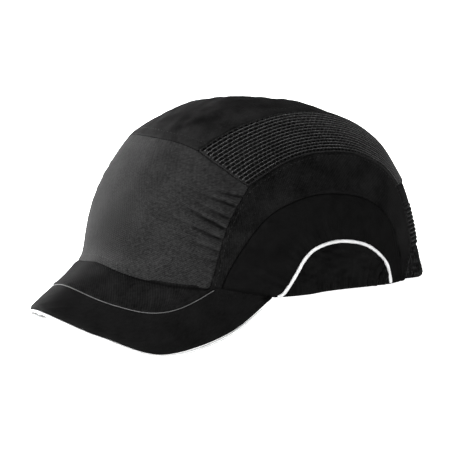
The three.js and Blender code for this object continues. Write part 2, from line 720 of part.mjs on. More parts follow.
add(cap, "peak_under_cover", peakUnderCover(), blackCotton);
add(cap, "peak_piping", peakPiping(), reflective);
add(cap, "size_strap", strap(), webbing);
add(cap, "buckle_tab", buckleTab(), webbing);

// The buckle leans with the nape cone and faces straight back from it.
const buckle = new THREE.Group();
const strapFace = NAPE_RADIUS - NAPE_SLOPE * STRAP_MIDDLE - STRAP.out;
const turn = rad(BUCKLE_AT);
buckle.position.set(
  strapFace * Math.sin(turn), NAPE_CENTRE_Y + strapFace * Math.cos(turn), STRAP_MIDDLE,
);
buckle.rotation.set(Math.atan(NAPE_SLOPE), 0, -turn, "ZYX");
add(buckle, "buckle_body", buckleBody(), buckleNylon);
add(buckle, "buckle_lever", buckleLever(), buckleNylon);
add(buckle, "lever_pin", leverPin(), pinSteel);
cap.add(buckle);

// Tip the cap back until its peak and its rear hem touch the table together, centred on it.
function lowest(name, tilt) {
  const positions = cap.getObjectByName(name).geometry.getAttribute("position").array;
  let low = Infinity;
  for (let i = 0; i < positions.length; i += 3)
    low = Math.min(low, positions[i + 2] * Math.cos(tilt) - positions[i + 1] * Math.sin(tilt));
  return low;
}

function restTilt() {
  let low = 0;
  let high = rad(30);
  for (let i = 0; i < 40; i++) {
    const middle = (low + high) / 2;
    if (lowest("peak_piping", middle) < lowest("rear_band_left", middle)) low = middle;
    else high = middle;
  }
  return low;
}

cap.rotation.x = -restTilt();
cap.updateMatrixWorld(true);
const stance = new THREE.Box3().setFromObject(cap, true);
cap.position.set(0, -(stance.min.y + stance.max.y) / 2, -stance.min.z);

const bumpCap = new THREE.Group();
bumpCap.add(cap);
export default bumpCap;
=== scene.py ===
"""A baseball-style bump cap: cloth, mesh, peak, shell and buckle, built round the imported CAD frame.

Shapes are drawn in millimetres in the wearing frame, as the CAD part is: -Y to the front, +X to
the wearer's left, +Z up, z = 0 at the hem by the temples. to_world() then tips them back, as the
cap stands on its table, and turns them into metres.
"""

import json
import math

import bmesh
import bpy
import numpy as np
from mathutils import Matrix, Vector

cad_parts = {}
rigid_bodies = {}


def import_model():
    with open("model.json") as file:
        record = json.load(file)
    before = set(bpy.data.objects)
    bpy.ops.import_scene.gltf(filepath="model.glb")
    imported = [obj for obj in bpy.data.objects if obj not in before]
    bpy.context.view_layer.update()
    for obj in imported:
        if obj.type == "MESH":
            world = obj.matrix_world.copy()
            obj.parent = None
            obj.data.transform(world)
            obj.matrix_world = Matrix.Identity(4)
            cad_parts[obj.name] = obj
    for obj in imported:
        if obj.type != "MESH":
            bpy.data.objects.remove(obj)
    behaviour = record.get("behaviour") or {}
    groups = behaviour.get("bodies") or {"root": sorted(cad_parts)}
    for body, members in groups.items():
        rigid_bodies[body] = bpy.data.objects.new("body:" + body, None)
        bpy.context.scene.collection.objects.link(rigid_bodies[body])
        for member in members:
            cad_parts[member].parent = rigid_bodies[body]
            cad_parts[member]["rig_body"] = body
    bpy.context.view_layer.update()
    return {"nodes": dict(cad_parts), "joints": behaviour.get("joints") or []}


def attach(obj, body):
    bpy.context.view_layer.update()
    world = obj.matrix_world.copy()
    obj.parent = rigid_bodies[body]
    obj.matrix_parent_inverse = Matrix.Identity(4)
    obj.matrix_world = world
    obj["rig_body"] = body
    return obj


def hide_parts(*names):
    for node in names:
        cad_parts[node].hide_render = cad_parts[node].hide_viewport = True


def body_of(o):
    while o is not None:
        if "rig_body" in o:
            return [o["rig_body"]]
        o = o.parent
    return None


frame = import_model()

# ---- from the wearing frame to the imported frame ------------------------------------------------
MM = 0.001
NAPE_CENTRE_Y = 22.0
STRAP_LOW, STRAP_HIGH = 4.2, 19.2
STRAP_MIDDLE = (STRAP_LOW + STRAP_HIGH) / 2

strap_joint = next(j for j in frame["joints"] if j["name"] == "strap_adjust")
lever_joint = next(j for j in frame["joints"] if j["name"] == "lever_open")
REST_TILT = math.atan2(strap_joint["axis"][1], strap_joint["axis"][2])
TIP = np.array(Matrix.Rotation(-REST_TILT, 3, "X"))
OFFSET = np.array(strap_joint["pos_m"]) - TIP @ np.array([0, NAPE_CENTRE_Y, STRAP_MIDDLE]) * MM


def to_world(points):
    return np.asarray(points) @ TIP.T * MM + OFFSET


# ---- the crown surface -------------------------------------------------------------------------
CROWN_HEIGHT = 110.0
HALF_LENGTH = 108.0
HALF_WIDTH = 87.0
PLAN_POWER = 2.2
FRONT_PROFILE = (2.6, 0.07)  # power, and how far the side leans in
SIDE_PROFILE = (2.9, 0.08)
REAR_PROFILE = (2.4, -0.01)
NAPE_FLARE, FLARE_FADE = 0.1, 14.0
HEART = np.array([0.0, 0.0, 20.0])  # every outward ray from here meets the crown once


def profile(size, shape, z):
    power, taper = shape
    share = np.clip(z / CROWN_HEIGHT, 0, 1)
    return size * (1 - share**power) ** (1 / power) * (1 - taper * z / CROWN_HEIGHT)


def inside_crown(p):
    x, y, z = np.abs(p[..., 0]), p[..., 1], p[..., 2]
    flare = HALF_LENGTH * NAPE_FLARE * np.exp(-np.maximum(0, z) / FLARE_FADE)
    front = profile(HALF_LENGTH, FRONT_PROFILE, z)
    rear = profile(HALF_LENGTH, REAR_PROFILE, z) + flare
    depth = np.maximum(np.where(y < 0, front, rear), 1e-6)
    width = np.maximum(profile(HALF_WIDTH, SIDE_PROFILE, z), 1e-6)
    level = (x / width) ** PLAN_POWER + (np.abs(y) / depth) ** PLAN_POWER
    return (level < 1) & (z < CROWN_HEIGHT)


def times_to_crown(q):
    """How many times as far from HEART as q the crown lies, on the same ray."""
    ray = np.asarray(q, float) - HEART
    low = np.zeros(ray.shape[:-1])
    high = np.full(ray.shape[:-1], 4.0)
    for _ in range(34):
        middle = (low + high) / 2
        within = inside_crown(HEART + ray * middle[..., None])
        low = np.where(within, middle, low)
        high = np.where(within, high, middle)
    return low


def on_crown(q):
    """The crown's points on the rays from HEART through q."""
    return HEART + (np.asarray(q, float) - HEART) * times_to_crown(q)[..., None]


def crown_normal(p, step=0.2):
    slopes = [times_to_crown(p - e) - times_to_crown(p + e) for e in np.eye(3) * step]
    return unit(np.stack(slopes, -1))


def crown_point(q, depth):
    """The crown's surface moved out by a depth, which is negative towards the head."""
    p = on_crown(q)
    return p + crown_normal(p) * np.asarray(depth)[..., None]


def at_height(bearing, z):
    """The crown's points at a height, on bearings in degrees round from the middle of the back."""
    bearing, z = np.broadcast_arrays(np.radians(bearing), np.asarray(z, float))
    low = np.zeros(bearing.shape)
    high = np.full(bearing.shape, 2 * HALF_LENGTH)
    at = lambda r: np.stack([r * np.sin(bearing), r * np.cos(bearing), z], -1)
    for _ in range(34):
        middle = (low + high) / 2
        within = inside_crown(at(middle))
        low = np.where(within, middle, low)
        high = np.where(within, high, middle)
    return at(low)


# ---- lines ------------------------------------------------------------------------------------
def unit(v):
    return v / np.maximum(np.linalg.norm(v, axis=-1, keepdims=True), 1e-12)


def travelled(points):
    """How far along a polyline each of its points lies."""
    steps = np.linalg.norm(np.diff(points, axis=0), axis=1)
    return np.concatenate([[0], np.cumsum(steps)])


def resample(points, t):
    """Points at shares t of a polyline's length."""
    s = travelled(points)
    return np.stack([np.interp(np.asarray(t) * s[-1], s, points[:, k]) for k in range(3)], -1)


def catmull_rom(points, per_span=40):
    p = np.array(points, float)
    p = np.vstack([2 * p[0] - p[1], p, 2 * p[-1] - p[-2]])
    f = np.linspace(0, 1, per_span, endpoint=False)[:, None]
    spans = []
    for i in range(1, len(p) - 2):
        a, b, c, d = p[i - 1 : i + 3]
        cubic = (2 * a - 5 * b + 4 * c - d) * f**2 + (3 * b - a - 3 * c + d) * f**3
        spans.append(0.5 * (2 * b + (c - a) * f + cubic))
    return np.vstack([*spans, p[-2:-1]])


def line(points):
    """A smooth line through the points, as a function of the share of its length."""
    dense = catmull_rom(points)
    return lambda t: resample(dense, np.clip(t, 0, 1))


def level_line(start, end, z):
    return lambda t: at_height(start + (end - start) * np.asarray(t), z)


def straight(a, b):
    a, b = np.array(a, float), np.array(b, float)
    return lambda t: a + (b - a) * np.asarray(t)[..., None]


def mirrored(points):
    return [[-x, y, z] for x, y, z in points]


def both_sides(half):
    return mirrored(half[:0:-1]) + list(half)


# ---- seam lines, for the wearer's left ---------------------------------------------------------
YOKE_LOW, YOKE_HIGH = 47.0, 60.0
YOKE_BEARING, CROWN_BEARING = 42.0, 16.0
BAND_LOW, BAND_HIGH = 1.4, 21.3
OPENING_HALF, OPENING_TOP = 34.0, 40.0

HEM_FRONT = [[0, -108, 10.5], [24, -105, 8], [44, -96.5, 5.5], [58, -86, 4.5], [68, -72, 4.3]]
HEM_EAR = [[84, -35, 0], [87, -13, 1], [87, -2, 2.2], [86, 15, 3], [84, 36, 3], [80, 50.5, 3]]
FRONT_CORNER = [67.5, -47, 63.5]
CROWN_CORNER = [41, -66, 82.5]
FRONT_SIDE = [
    [68, -72, 4.3], [68.5, -68, 17], [69, -65, 30], [69, -61, 42], [69, -55, 53], FRONT_CORNER,
]
MESH_FRONT = [FRONT_CORNER, [62.5, -53, 68], [57, -58, 73], [50, -63, 78], CROWN_CORNER]
CROWN_FRONT = [[0, -75, 87.5], [8, -75, 87.5], [20, -73, 87], [31, -70, 85.5], CROWN_CORNER]
CROWN_SIDE = [
    CROWN_CORNER, [43, -46, 94], [43, -28, 100], [41, -5, 105],
    [38, 20, 106], [34, 48, 101], [30, 76, 84], list(at_height(CROWN_BEARING, YOKE_HIGH)),
]
BAND_TOP = [
    FRONT_CORNER, [69, -34, 72], [68, -17, 79], [67.5, -2, 82.3], [67, 10, 83],
    [66, 20, 82.8], [64, 33, 80.5], [62.5, 45, 76], [61, 55, 71],
    list(at_height(YOKE_BEARING, YOKE_HIGH)),
]
BAND_BACK = [
    BAND_TOP[-1], list(at_height(40.7, 53)), list(at_height(40, 42)), list(at_height(39.8, 33)),
    list(at_height(40.3, 22)), list(at_height(44.8, 13)), list(at_height(49.4, 3.4)),
]
ARCH = [
    [71, -66, 3.6], [73, -61, 17], [76, -49, 36], [77, -37, 48], [78, -21, 55.5], [78, -4, 59],
    [78, 13, 59], [76.5, 32, 55], [75, 46, 47], [74, 56, 35], [74, 61, 21], [76, 61.5, 3.5],
]
PIPING = [
    [84, -35, 0], [84, -30, 3], [85, -23, 13], [85, -17, 22], [84, -9, 28], [84, 4, 31.3],
    [84, 17, 31], [82, 29, 28], [81, 40, 22], [80, 48, 14], [80, 50.5, 3],
]


# ---- noise ------------------------------------------------------------------------------------
def wander(x, wavelength, seed):
    """A smooth random line from -1 to 1, of about one hump per wavelength."""
    rng = np.random.default_rng(seed)
    total = np.zeros(np.shape(x))
    for k in range(6):
        pitch = wavelength * (0.62 + 0.18 * k) * rng.uniform(0.9, 1.1)
        total += np.sin(2 * np.pi * np.asarray(x) / pitch + rng.uniform(0, 6.28))
    return total / 2.6


def swell(p, wavelength, seed):
    """Smooth random hills of about 1 over a surface, from waves in many directions."""
    rng = np.random.default_rng(seed)
    total = np.zeros(p.shape[:-1])
    for _ in range(10):
        direction = unit(rng.normal(size=3))
        pitch = wavelength * rng.uniform(0.7, 1.5)
        total += np.sin(2 * np.pi * (p @ direction) / pitch + rng.uniform(0, 6.28))
    return total / 3.2


def fade(distance, reach):
    return np.exp(-np.maximum(distance, 0) / reach)


def crease(offset, width):
    """A fold's section: 1 in the middle, with soft sides."""
    return np.exp(-((offset / width) ** 2))


# ---- meshes ------------------------------------------------------------------------------------
def mesh_object(name, vertices, faces, material, smooth=True, uv=None, raised=None):
    mesh = bpy.data.meshes.new(name)
    mesh.from_pydata([tuple(v) for v in vertices], [], [tuple(f) for f in faces])
    if uv is not None:
        layer = mesh.uv_layers.new(name="cloth")
        corners = np.zeros(len(mesh.loops), np.int32)
        mesh.loops.foreach_get("vertex_index", corners)
        layer.data.foreach_set("uv", np.asarray(uv, np.float32)[corners].ravel())
    if raised is not None:
        relief = mesh.attributes.new("raised", "FLOAT", "POINT")
        relief.data.foreach_set("value", np.asarray(raised, np.float32))
    mesh.validate()
    mesh.polygons.foreach_set("use_smooth", [smooth] * len(mesh.polygons))
    mesh.update()
    obj = bpy.data.objects.new(name, mesh)
    bpy.context.scene.collection.objects.link(obj)
    mesh.materials.append(material)
    return obj


def tidy_mesh(obj, merge=2e-6):
    """Merges touching points, drops faces with no area and turns the rest outwards."""
    made = bmesh.new()
    made.from_mesh(obj.data)
    bmesh.ops.remove_doubles(made, verts=made.verts, dist=merge)
    bmesh.ops.dissolve_degenerate(made, edges=made.edges, dist=merge)
    bmesh.ops.recalc_face_normals(made, faces=made.faces)
    made.to_mesh(obj.data)
    made.free()
    return obj


def grid_faces(rows, columns, start=0, flip=False, wrap=False):
    i, j = np.meshgrid(np.arange(columns if wrap else columns - 1), np.arange(rows - 1))
    i, j = i.ravel(), j.ravel()
    k = (i + 1) % columns
    quads = [j * columns + i, j * columns + k, (j + 1) * columns + k, (j + 1) * columns + i]
    quads = np.stack(quads[::-1] if flip else quads, 1) + start
    return quads.tolist()


def outward(outer, faces):
    """True if the first faces look away from HEART."""
    a, b, c = (outer[faces[len(faces) // 2][k]] for k in range(3))
    return np.dot(np.cross(b - a, c - a), a - HEART) > 0


def shell_between(name, outer, inner, material, uv=None, raised=None):
    """A closed skin from two grids of points of the same size, in the wearing frame."""
    rows, columns = outer.shape[:2]
    top = outer.reshape(-1, 3)
    flip = not outward(top, grid_faces(rows, columns))
    count = len(top)
    faces = grid_faces(rows, columns, 0, flip) + grid_faces(rows, columns, count, not flip)
    index = np.arange(count).reshape(rows, columns)
    loop = np.concatenate([index[0, :-1], index[:-1, -1], index[-1, :0:-1], index[:0:-1, 0]])
    nxt = np.roll(loop, -1)
    for a, b in zip(loop.tolist(), nxt.tolist()):
        wall = [b, a, a + count, b + count]
        faces.append(wall[::-1] if flip else wall)
    points = np.vstack([top, inner.reshape(-1, 3)])
    uv = None if uv is None else np.vstack([uv.reshape(-1, 2)] * 2)
    raised = None if raised is None else np.tile(raised.ravel(), 2)
    return mesh_object(name, to_world(points), faces, material, uv=uv, raised=raised)


# ---- panels ------------------------------------------------------------------------------------
def coons(low, high, start, end):
    """A four-sided patch between boundary lines that meet at their ends."""
    def at(u, v):
        w, t = u[..., None], v[..., None]
        sides = start(v) * (1 - w) + end(v) * w
        rails = low(u) * (1 - t) + high(u) * t
        zero, one = np.zeros(u.shape), np.ones(u.shape)
        corners = low(zero) * (1 - w) * (1 - t) + low(one) * w * (1 - t)
        corners = corners + high(zero) * (1 - w) * t + high(one) * w * t
        return sides + rails - corners
    return at


def ruled(low, high):
    return lambda u, v: low(u) * (1 - v[..., None]) + high(u) * v[..., None]


def stations(length, fine, coarse, border):
    """Shares of a length, closely spaced within border of both ends."""
    edge = np.linspace(0, border, max(2, round(border / fine) + 1))
    middle = np.linspace(border, length - border, max(2, round((length - 2 * border) / coarse) + 1))
    return np.concatenate([edge, middle[1:-1], length - edge[::-1]]) / length


def area_of(grid):
    """A grid of points' area in square metres."""
    halves = np.cross(grid[1:, 1:] - grid[:-1, :-1], grid[1:, :-1] - grid[:-1, 1:])
    return float(np.linalg.norm(halves, axis=-1).sum() / 2) * MM * MM


def normals_of(grid):
    du = np.gradient(grid, axis=1)
    dv = np.gradient(grid, axis=0)
    normal = unit(np.cross(du, dv))
    away = np.sign(np.sum(normal * (grid - HEART), -1, keepdims=True))
    return normal * np.where(away == 0, 1, away)


class Panel:
    """A piece of cloth laid on the crown, with the distances to its edges and its relief."""

    def __init__(self, patch, fine=0.45, coarse=1.5, border=3.6, place=on_crown):
        rough = place(patch(*np.meshgrid(np.linspace(0, 1, 24), np.linspace(0, 1, 24))))
        across = np.mean([travelled(row)[-1] for row in rough])
        up = np.mean([travelled(column)[-1] for column in rough.transpose(1, 0, 2)])
        self.u = stations(across, fine, coarse, border)
        self.v = stations(up, fine, coarse, border)
        self.points = place(patch(*np.meshgrid(self.u, self.v)))
        self.normals = normals_of(self.points)
        self.along = np.stack([travelled(row) for row in self.points])
        self.up = np.stack([travelled(c) for c in self.points.transpose(1, 0, 2)], 1)
        self.start, self.end = self.along, self.along[:, -1:] - self.along
        self.bottom, self.top = self.up, self.up[-1:] - self.up
        self.size = (float(self.along[:, -1].max()) * MM, float(self.up[-1].max()) * MM)
        self.height = np.zeros(self.along.shape)

    def roll(self, radius=0.9, edges=("start", "end", "bottom", "top")):
        """The cloth turns under at its seams."""
        for edge in edges:
            d = np.clip(getattr(self, edge), 0, radius)
            self.height -= radius - np.sqrt(radius**2 - (radius - d) ** 2)
        return self

    def pillow(self, amount, reach, edges=("start", "end", "bottom", "top")):
        """Next to a seam the cloth stands a little proud."""
        for edge in edges:
            d = getattr(self, edge)
            self.height += amount * (d / reach) * np.exp(1 - d / reach)
        return self

    def pucker(self, edge, amount, wavelength, reach, seed):
        along = self.along if edge in ("top", "bottom") else self.up
        d = getattr(self, edge)
        waves = wander(along, wavelength, seed)
        self.height += amount * waves * fade(d, reach) * (1 - fade(d, 0.8))
        return self

    def hills(self, amount, wavelength, seed):
        clear = np.minimum.reduce([self.start, self.end, self.bottom, self.top])
        self.height += amount * swell(self.points, wavelength, seed) * (1 - fade(clear, 6))
        return self

    def groove(self, edge, distance, depth=0.22, width=0.7):
        """The line that a row of stitches pulls in."""
        self.height -= depth * crease(getattr(self, edge) - distance, width)
        return self

    def surface(self):
        return self.points + self.normals * self.height[..., None]

    def uv(self):
        return np.stack([self.along, self.up], -1) * MM

    def build(self, name, material, thickness=1.2):
        depth = np.minimum(self.height, 0) * 0.8 - thickness
        inner = self.points + self.normals * depth[..., None]
        # The relief also goes on as the "raised" attribute, from which the colour takes its painted
        # shade in sunk places.
        return shell_between(name, self.surface(), inner, material, self.uv(), self.height)

    def row(self, edge, distance):
        """The relief's points and normals along a line at a distance from an edge."""
        surface, d = self.surface(), getattr(self, edge)
        normals = self.normals
        if edge in ("start", "end"):
            surface, normals, d = surface.transpose(1, 0, 2), normals.transpose(1, 0, 2), d.T
        if edge in ("top", "end"):
            surface, normals, d = surface[::-1], normals[::-1], d[::-1]
        points, facing = [], []
        for k in range(surface.shape[1]):
            if d[-1, k] < distance:
                continue
            points.append([np.interp(distance, d[:, k], surface[:, k, a]) for a in range(3)])
            facing.append([np.interp(distance, d[:, k], normals[:, k, a]) for a in range(3)])
        return np.array(points), unit(np.array(facing))


# ---- materials ---------------------------------------------------------------------------------
class Shader:
    """A material's nodes. add() makes a node, setting its inputs to values or to other outputs."""

    def __init__(self, name):
        self.material = bpy.data.materials.new(name)
        self.material.use_nodes = True
        self.tree = self.material.node_tree
        self.bsdf = self.tree.nodes["Principled BSDF"]

    def fill(self, node, inputs):
        for key, value in inputs.items():
            if isinstance(value, bpy.types.NodeSocket):
                self.tree.links.new(value, node.inputs[key])
            else:
                node.inputs[key].default_value = value

    def add(self, kind, inputs=(), **settings):
        node = self.tree.nodes.new(kind)
        for key, value in settings.items():
            setattr(node, key, value)
        self.fill(node, dict(inputs))
        return node

    def place(self):
        return self.add("ShaderNodeTexCoord").outputs["Object"]

    def cloth(self, angle=0.0):
        """Metres across the cut cloth, turned by an angle in degrees."""
        uv = self.add("ShaderNodeUVMap", uv_map="cloth").outputs["UV"]
        turn = (0, 0, math.radians(angle))
        mapping = self.add("ShaderNodeMapping", {"Vector": uv, "Rotation": turn})
        return mapping.outputs["Vector"]

    def noise(self, vector, size, detail=3.0, rough=0.55):
        """Noise with features of about a size in metres, from 0 to 1."""
        inputs = {"Vector": vector, "Scale": 1 / size, "Detail": detail, "Roughness": rough}
        return self.add("ShaderNodeTexNoise", inputs).outputs["Fac"]

    def ribs(self, vector, pitch, wobble=0.0):
        """Parallel ribs across the vector's x, a pitch in metres apart, from 0 to 1."""
        scale = 2 * math.pi / (20 * pitch)
        inputs = {"Vector": vector, "Scale": scale, "Distortion": wobble, "Detail": 1.0}
        wave = self.add("ShaderNodeTexWave", inputs, wave_type="BANDS", bands_direction="X")
        return wave.outputs["Fac"]

    def span(self, value, low, high, to_low=0.0, to_high=1.0):
        inputs = {
            "Value": value, "From Min": low, "From Max": high, "To Min": to_low, "To Max": to_high,
        }
        return self.add("ShaderNodeMapRange", inputs, clamp=True).outputs["Result"]

    def math(self, operation, a, b):
        node = self.add("ShaderNodeMath", operation=operation)
        self.fill(node, {0: a, 1: b})
        return node.outputs[0]

    def paint_fold_shade(self, colour, depth=1.3):
        """The colour with painted shade, darker where the cloth is sunk: in its creases and beside
        its seams.
        """
        raised = self.add("ShaderNodeAttribute", attribute_name="raised").outputs["Fac"]
        return self.blend(self.span(raised, -depth, -0.1, 0.75, 0.0), colour, grey(0.0))

    def blend(self, share, a, b):
        node = self.add("ShaderNodeMix", data_type="RGBA")
        self.fill(node, {0: share, 6: a, 7: b})
        return node.outputs[2]

    def bump(self, height, depth, after=None):
        inputs = {"Height": height, "Distance": depth, "Strength": 1.0}
        if after is not None:
            inputs["Normal"] = after
        return self.add("ShaderNodeBump", inputs).outputs["Normal"]

    def finish(self, **inputs):
        self.fill(self.bsdf, {key.replace("_", " "): value for key, value in inputs.items()})
        return self.material


def grey(value, warmth=0.0):
    return (value * (1 + warmth), value, value * (1 - warmth), 1)


def woven(name, dark, light, pitch, angle, relief, slub=0.0016, sheen=0.1, rough=0.9, mottle=0.5):
    """Yarn-dyed cloth: ribs at a pitch and an angle, slubs in the yarn and a mottling, with painted
    shade where the cloth is sunk.
    """
    s = Shader(name)
    flat, place = s.cloth(angle), s.place()
    stretched = s.add("ShaderNodeMapping", {"Vector": s.cloth(angle), "Scale": (1, 0.6, 1)})
    yarn = s.noise(stretched.outputs["Vector"], slub, 4.0, 0.65)
    broad = s.noise(place, 0.014, 3.0)
    rib = s.ribs(flat, pitch, 0.6)
    cross = s.ribs(s.cloth(angle + 90), pitch * 1.7, 0.8)
    spots, clouds = s.span(yarn, 0.36, 0.66, 0, 1 - mottle), s.span(broad, 0.35, 0.68, 0, mottle)
    share = s.math("ADD", s.math("ADD", spots, clouds), s.span(rib, 0, 1, -0.14, 0.14))
    # Painted shade: the colour darkens in the cloth's creases and beside its seams.
    colour = s.paint_fold_shade(s.blend(share, grey(dark), grey(light)))
    height = s.math("ADD", s.math("MULTIPLY", rib, 0.65), s.math("MULTIPLY", cross, 0.35))
    normal = s.bump(yarn, relief * 0.9, s.bump(height, relief))
    shine = s.span(yarn, 0.3, 0.7, rough - 0.07, min(1.0, rough + 0.05))
    return s.finish(
        Base_Color=colour, Roughness=shine, Normal=normal, Specular_IOR_Level=0.01,
        Sheen_Weight=sheen, Sheen_Roughness=0.55, Sheen_Tint=grey(0.8),
    )


def knitted(name, dark, light, loop=0.0009, ridged=True):
    """Strands with the loops of their knitting. In the ridged mesh the colour holds painted shade and
    light by height: the low strands are darker, the ridges lighter.
    """
    s = Shader(name)
    place = s.place()
    fuzz = s.noise(place, 0.0006, 4.0, 0.7)
    loops = s.math("MULTIPLY", s.ribs(s.cloth(38), loop, 0.8), s.ribs(s.cloth(-38), loop, 0.8))
    share = s.math("ADD", s.span(loops, 0, 1, 0, 0.65), s.span(fuzz, 0.35, 0.7, 0, 0.35))
    if ridged:
        # Painted shade and light: strands below the waist go dark, the waist stays dim, and the
        # ridges between rows are lit.
        raised = s.add("ShaderNodeAttribute", attribute_name="raised").outputs["Fac"]
        waist_shade = s.span(raised, -0.4, -0.28, 0.0, 0.1)
        ridge = s.span(raised, 0.4, 0.75, 0.0, 0.9)
        share = s.math("MULTIPLY", share, s.math("ADD", waist_shade, ridge))
    else:
        share = s.math("MULTIPLY", share, s.span(s.noise(place, 0.003, 2.0), 0.4, 0.6, 0.0, 1.3))
    colour = s.blend(share, grey(dark), grey(light))
    normal = s.bump(fuzz, 0.00012, s.bump(loops, 0.00022))
    return s.finish(
        Base_Color=colour, Roughness=0.72, Normal=normal, Specular_IOR_Level=0.02,
        Sheen_Weight=0.01, Sheen_Roughness=0.4, Sheen_Tint=grey(0.9),
    )


def smooth_cloth(name, dark, light, rough=0.5, sheen=0.12, gloss=0.3):
    """Fine satin or lining cloth with a soft shine along its threads, and painted shade where the
    cloth is sunk.
    """
    s = Shader(name)
    place = s.place()
    threads = s.ribs(s.cloth(0), 0.00042, 0.3)
    across = s.ribs(s.cloth(90), 0.00036, 0.3)
    cloudy = s.noise(place, 0.009, 4.0, 0.6)
    share = s.math("ADD", s.span(cloudy, 0.35, 0.68, 0, 0.8), s.span(threads, 0, 1, 0, 0.2))
    # Painted shade: the colour darkens in the cloth's creases and beside its seams.
    colour = s.paint_fold_shade(s.blend(share, grey(dark), grey(light)))
    height = s.math("ADD", s.math("MULTIPLY", threads, 0.6), s.math("MULTIPLY", across, 0.4))
    normal = s.bump(cloudy, 0.0002, s.bump(height, 0.00005))
    shine = s.span(cloudy, 0.35, 0.7, rough - 0.06, rough + 0.08)
    return s.finish(
        Base_Color=colour, Roughness=shine, Normal=normal, Specular_IOR_Level=gloss,
        Sheen_Weight=sheen, Sheen_Roughness=0.4, Sheen_Tint=grey(0.9),
    )


def reflective_tape(name, dark, light):
    """Grey tape of fine glass beads on a woven ground."""
    s = Shader(name)
    place = s.place()
    beads = s.noise(place, 0.00035, 2.0, 0.5)
    worn = s.noise(place, 0.006, 4.0, 0.65)
    share = s.math("ADD", s.span(worn, 0.35, 0.6, 0, 0.7), s.span(beads, 0.3, 0.7, 0, 0.3))
    colour = s.blend(share, grey(dark), grey(light, -0.008))
    normal = s.bump(worn, 0.00025, s.bump(beads, 0.00008))
    return s.finish(
        Base_Color=colour, Roughness=0.42, Normal=normal, Specular_IOR_Level=0.3,
        Sheen_Weight=0.06, Sheen_Roughness=0.3, Sheen_Tint=grey(1.0),
    )


def pile(name, dark, light, size=0.0011, relief=0.0005, sheen=0.25):
    """Towelling, brushed cloth or open foam: a rough surface of small loops or cells."""
    s = Shader(name)
    place = s.place()
    cells = s.add("ShaderNodeTexVoronoi", {"Vector": place, "Scale": 1 / size}, feature="SMOOTH_F1")
    worn = s.noise(place, 0.012, 3.0)
    loop = cells.outputs["Distance"]
    share = s.math("ADD", s.span(loop, 0.1, 0.7, 0.6, 0), s.span(worn, 0.35, 0.65, 0, 0.4))
    colour = s.blend(share, grey(dark), grey(light))
    normal = s.bump(s.span(loop, 0.0, 0.8, 1.0, 0.0), relief)
    return s.finish(
        Base_Color=colour, Roughness=0.97, Normal=normal, Specular_IOR_Level=0.15,
        Sheen_Weight=sheen, Sheen_Roughness=0.6, Sheen_Tint=grey(0.7),
    )


def ribbed(name, dark, light, pitch, relief=0.0003, angle=0.0):
    """Webbing or elastic with ribs across it and a finer weave between them."""
    s = Shader(name)
    rib = s.ribs(s.cloth(angle), pitch, 0.25)
    fine = s.ribs(s.cloth(angle + 90), pitch * 0.45, 0.3)
    worn = s.noise(s.place(), 0.004, 4.0, 0.6)
    share = s.math("ADD", s.span(rib, 0, 1, 0, 0.55), s.span(worn, 0.35, 0.68, 0, 0.45))
    colour = s.blend(share, grey(dark), grey(light))
    height = s.math("ADD", s.math("MULTIPLY", rib, 0.75), s.math("MULTIPLY", fine, 0.25))
    normal = s.bump(height, relief)
    return s.finish(
        Base_Color=colour, Roughness=0.78, Normal=normal, Specular_IOR_Level=0.1,
        Sheen_Weight=0.02, Sheen_Roughness=0.5, Sheen_Tint=grey(0.8),
    )


def moulded(name, dark, light, rough, grain=0.0009, relief=0.00004):
    """Moulded plastic with a fine spark texture, rubbed smoother in places."""
    s = Shader(name)
    place = s.place()
    spark = s.noise(place, grain, 3.0, 0.6)
    rubbed = s.noise(place, 0.007, 4.0, 0.6)
    colour = s.blend(s.span(rubbed, 0.35, 0.7), grey(dark), grey(light))
    shine = s.span(rubbed, 0.3, 0.7, rough + 0.1, rough - 0.08)
    return s.finish(
        Base_Color=colour, Roughness=shine, Normal=s.bump(spark, relief), Specular_IOR_Level=0.45,
    )


def bright_steel(name):
    """Drawn steel wire with fine marks along it."""
    s = Shader(name)
    stretched = s.add("ShaderNodeMapping", {"Vector": s.place(), "Scale": (1, 1, 0.08)})
    drawn = s.noise(stretched.outputs["Vector"], 0.0003, 3.0)
    colour = s.blend(s.span(drawn, 0.3, 0.7), grey(0.42), grey(0.6))
    return s.finish(
        Base_Color=colour, Metallic=1.0, Roughness=s.span(drawn, 0.3, 0.7, 0.2, 0.38),
        Normal=s.bump(drawn, 0.00002),
    )


FRONT_TWILL = woven("front_twill", 0.003, 0.0148, 0.0011, 60, 0.0002, 0.0013, 0.02, mottle=0.3)
CROWN_TWILL = woven("crown_twill", 0.0018, 0.0088, 0.0009, 60, 0.00014, 0.0017, 0.006, mottle=0.6)
BAND_TWILL = woven("band_twill", 0.0005, 0.0056, 0.0009, 60, 0.0002, 0.0015, 0.005)
PEAK_TWILL = woven("peak_twill", 0.0014, 0.0036, 0.0009, 35, 0.0001, 0.0017, 0.006)
SATIN = smooth_cloth("satin", 0.002, 0.0034, 0.6, 0.0, 0.004)
EAR_SATIN = smooth_cloth("ear_satin", 0.0006, 0.0021, 0.45, 0.0, 0.02)
MESH_STRAND = knitted("mesh_strand", 0.0004, 0.24)
MESH_GROUND = pile("mesh_ground", 0.0004, 0.0012, 0.0008, 0.0002, 0.0)
BAND_MESH = knitted("gathered_mesh", 0.0005, 0.02, 0.0022, False)
REFLECTIVE = reflective_tape("reflective_tape", 0.3, 0.42)
THREAD = ribbed("thread", 0.002, 0.005, 0.0005, 0.00006, 45)
GREY_THREAD = ribbed("grey_thread", 0.028, 0.075, 0.0006, 0.00008, 45)
WEBBING = ribbed("webbing", 0.004, 0.011, 0.0012, 0.0004)
ELASTIC = ribbed("elastic", 0.005, 0.014, 0.0009, 0.0004)
TOWELLING = pile("towelling", 0.01, 0.028, 0.0011, 0.0005, 0.08)
FOAM = pile("foam", 0.009, 0.02, 0.0007, 0.00025, 0.05)
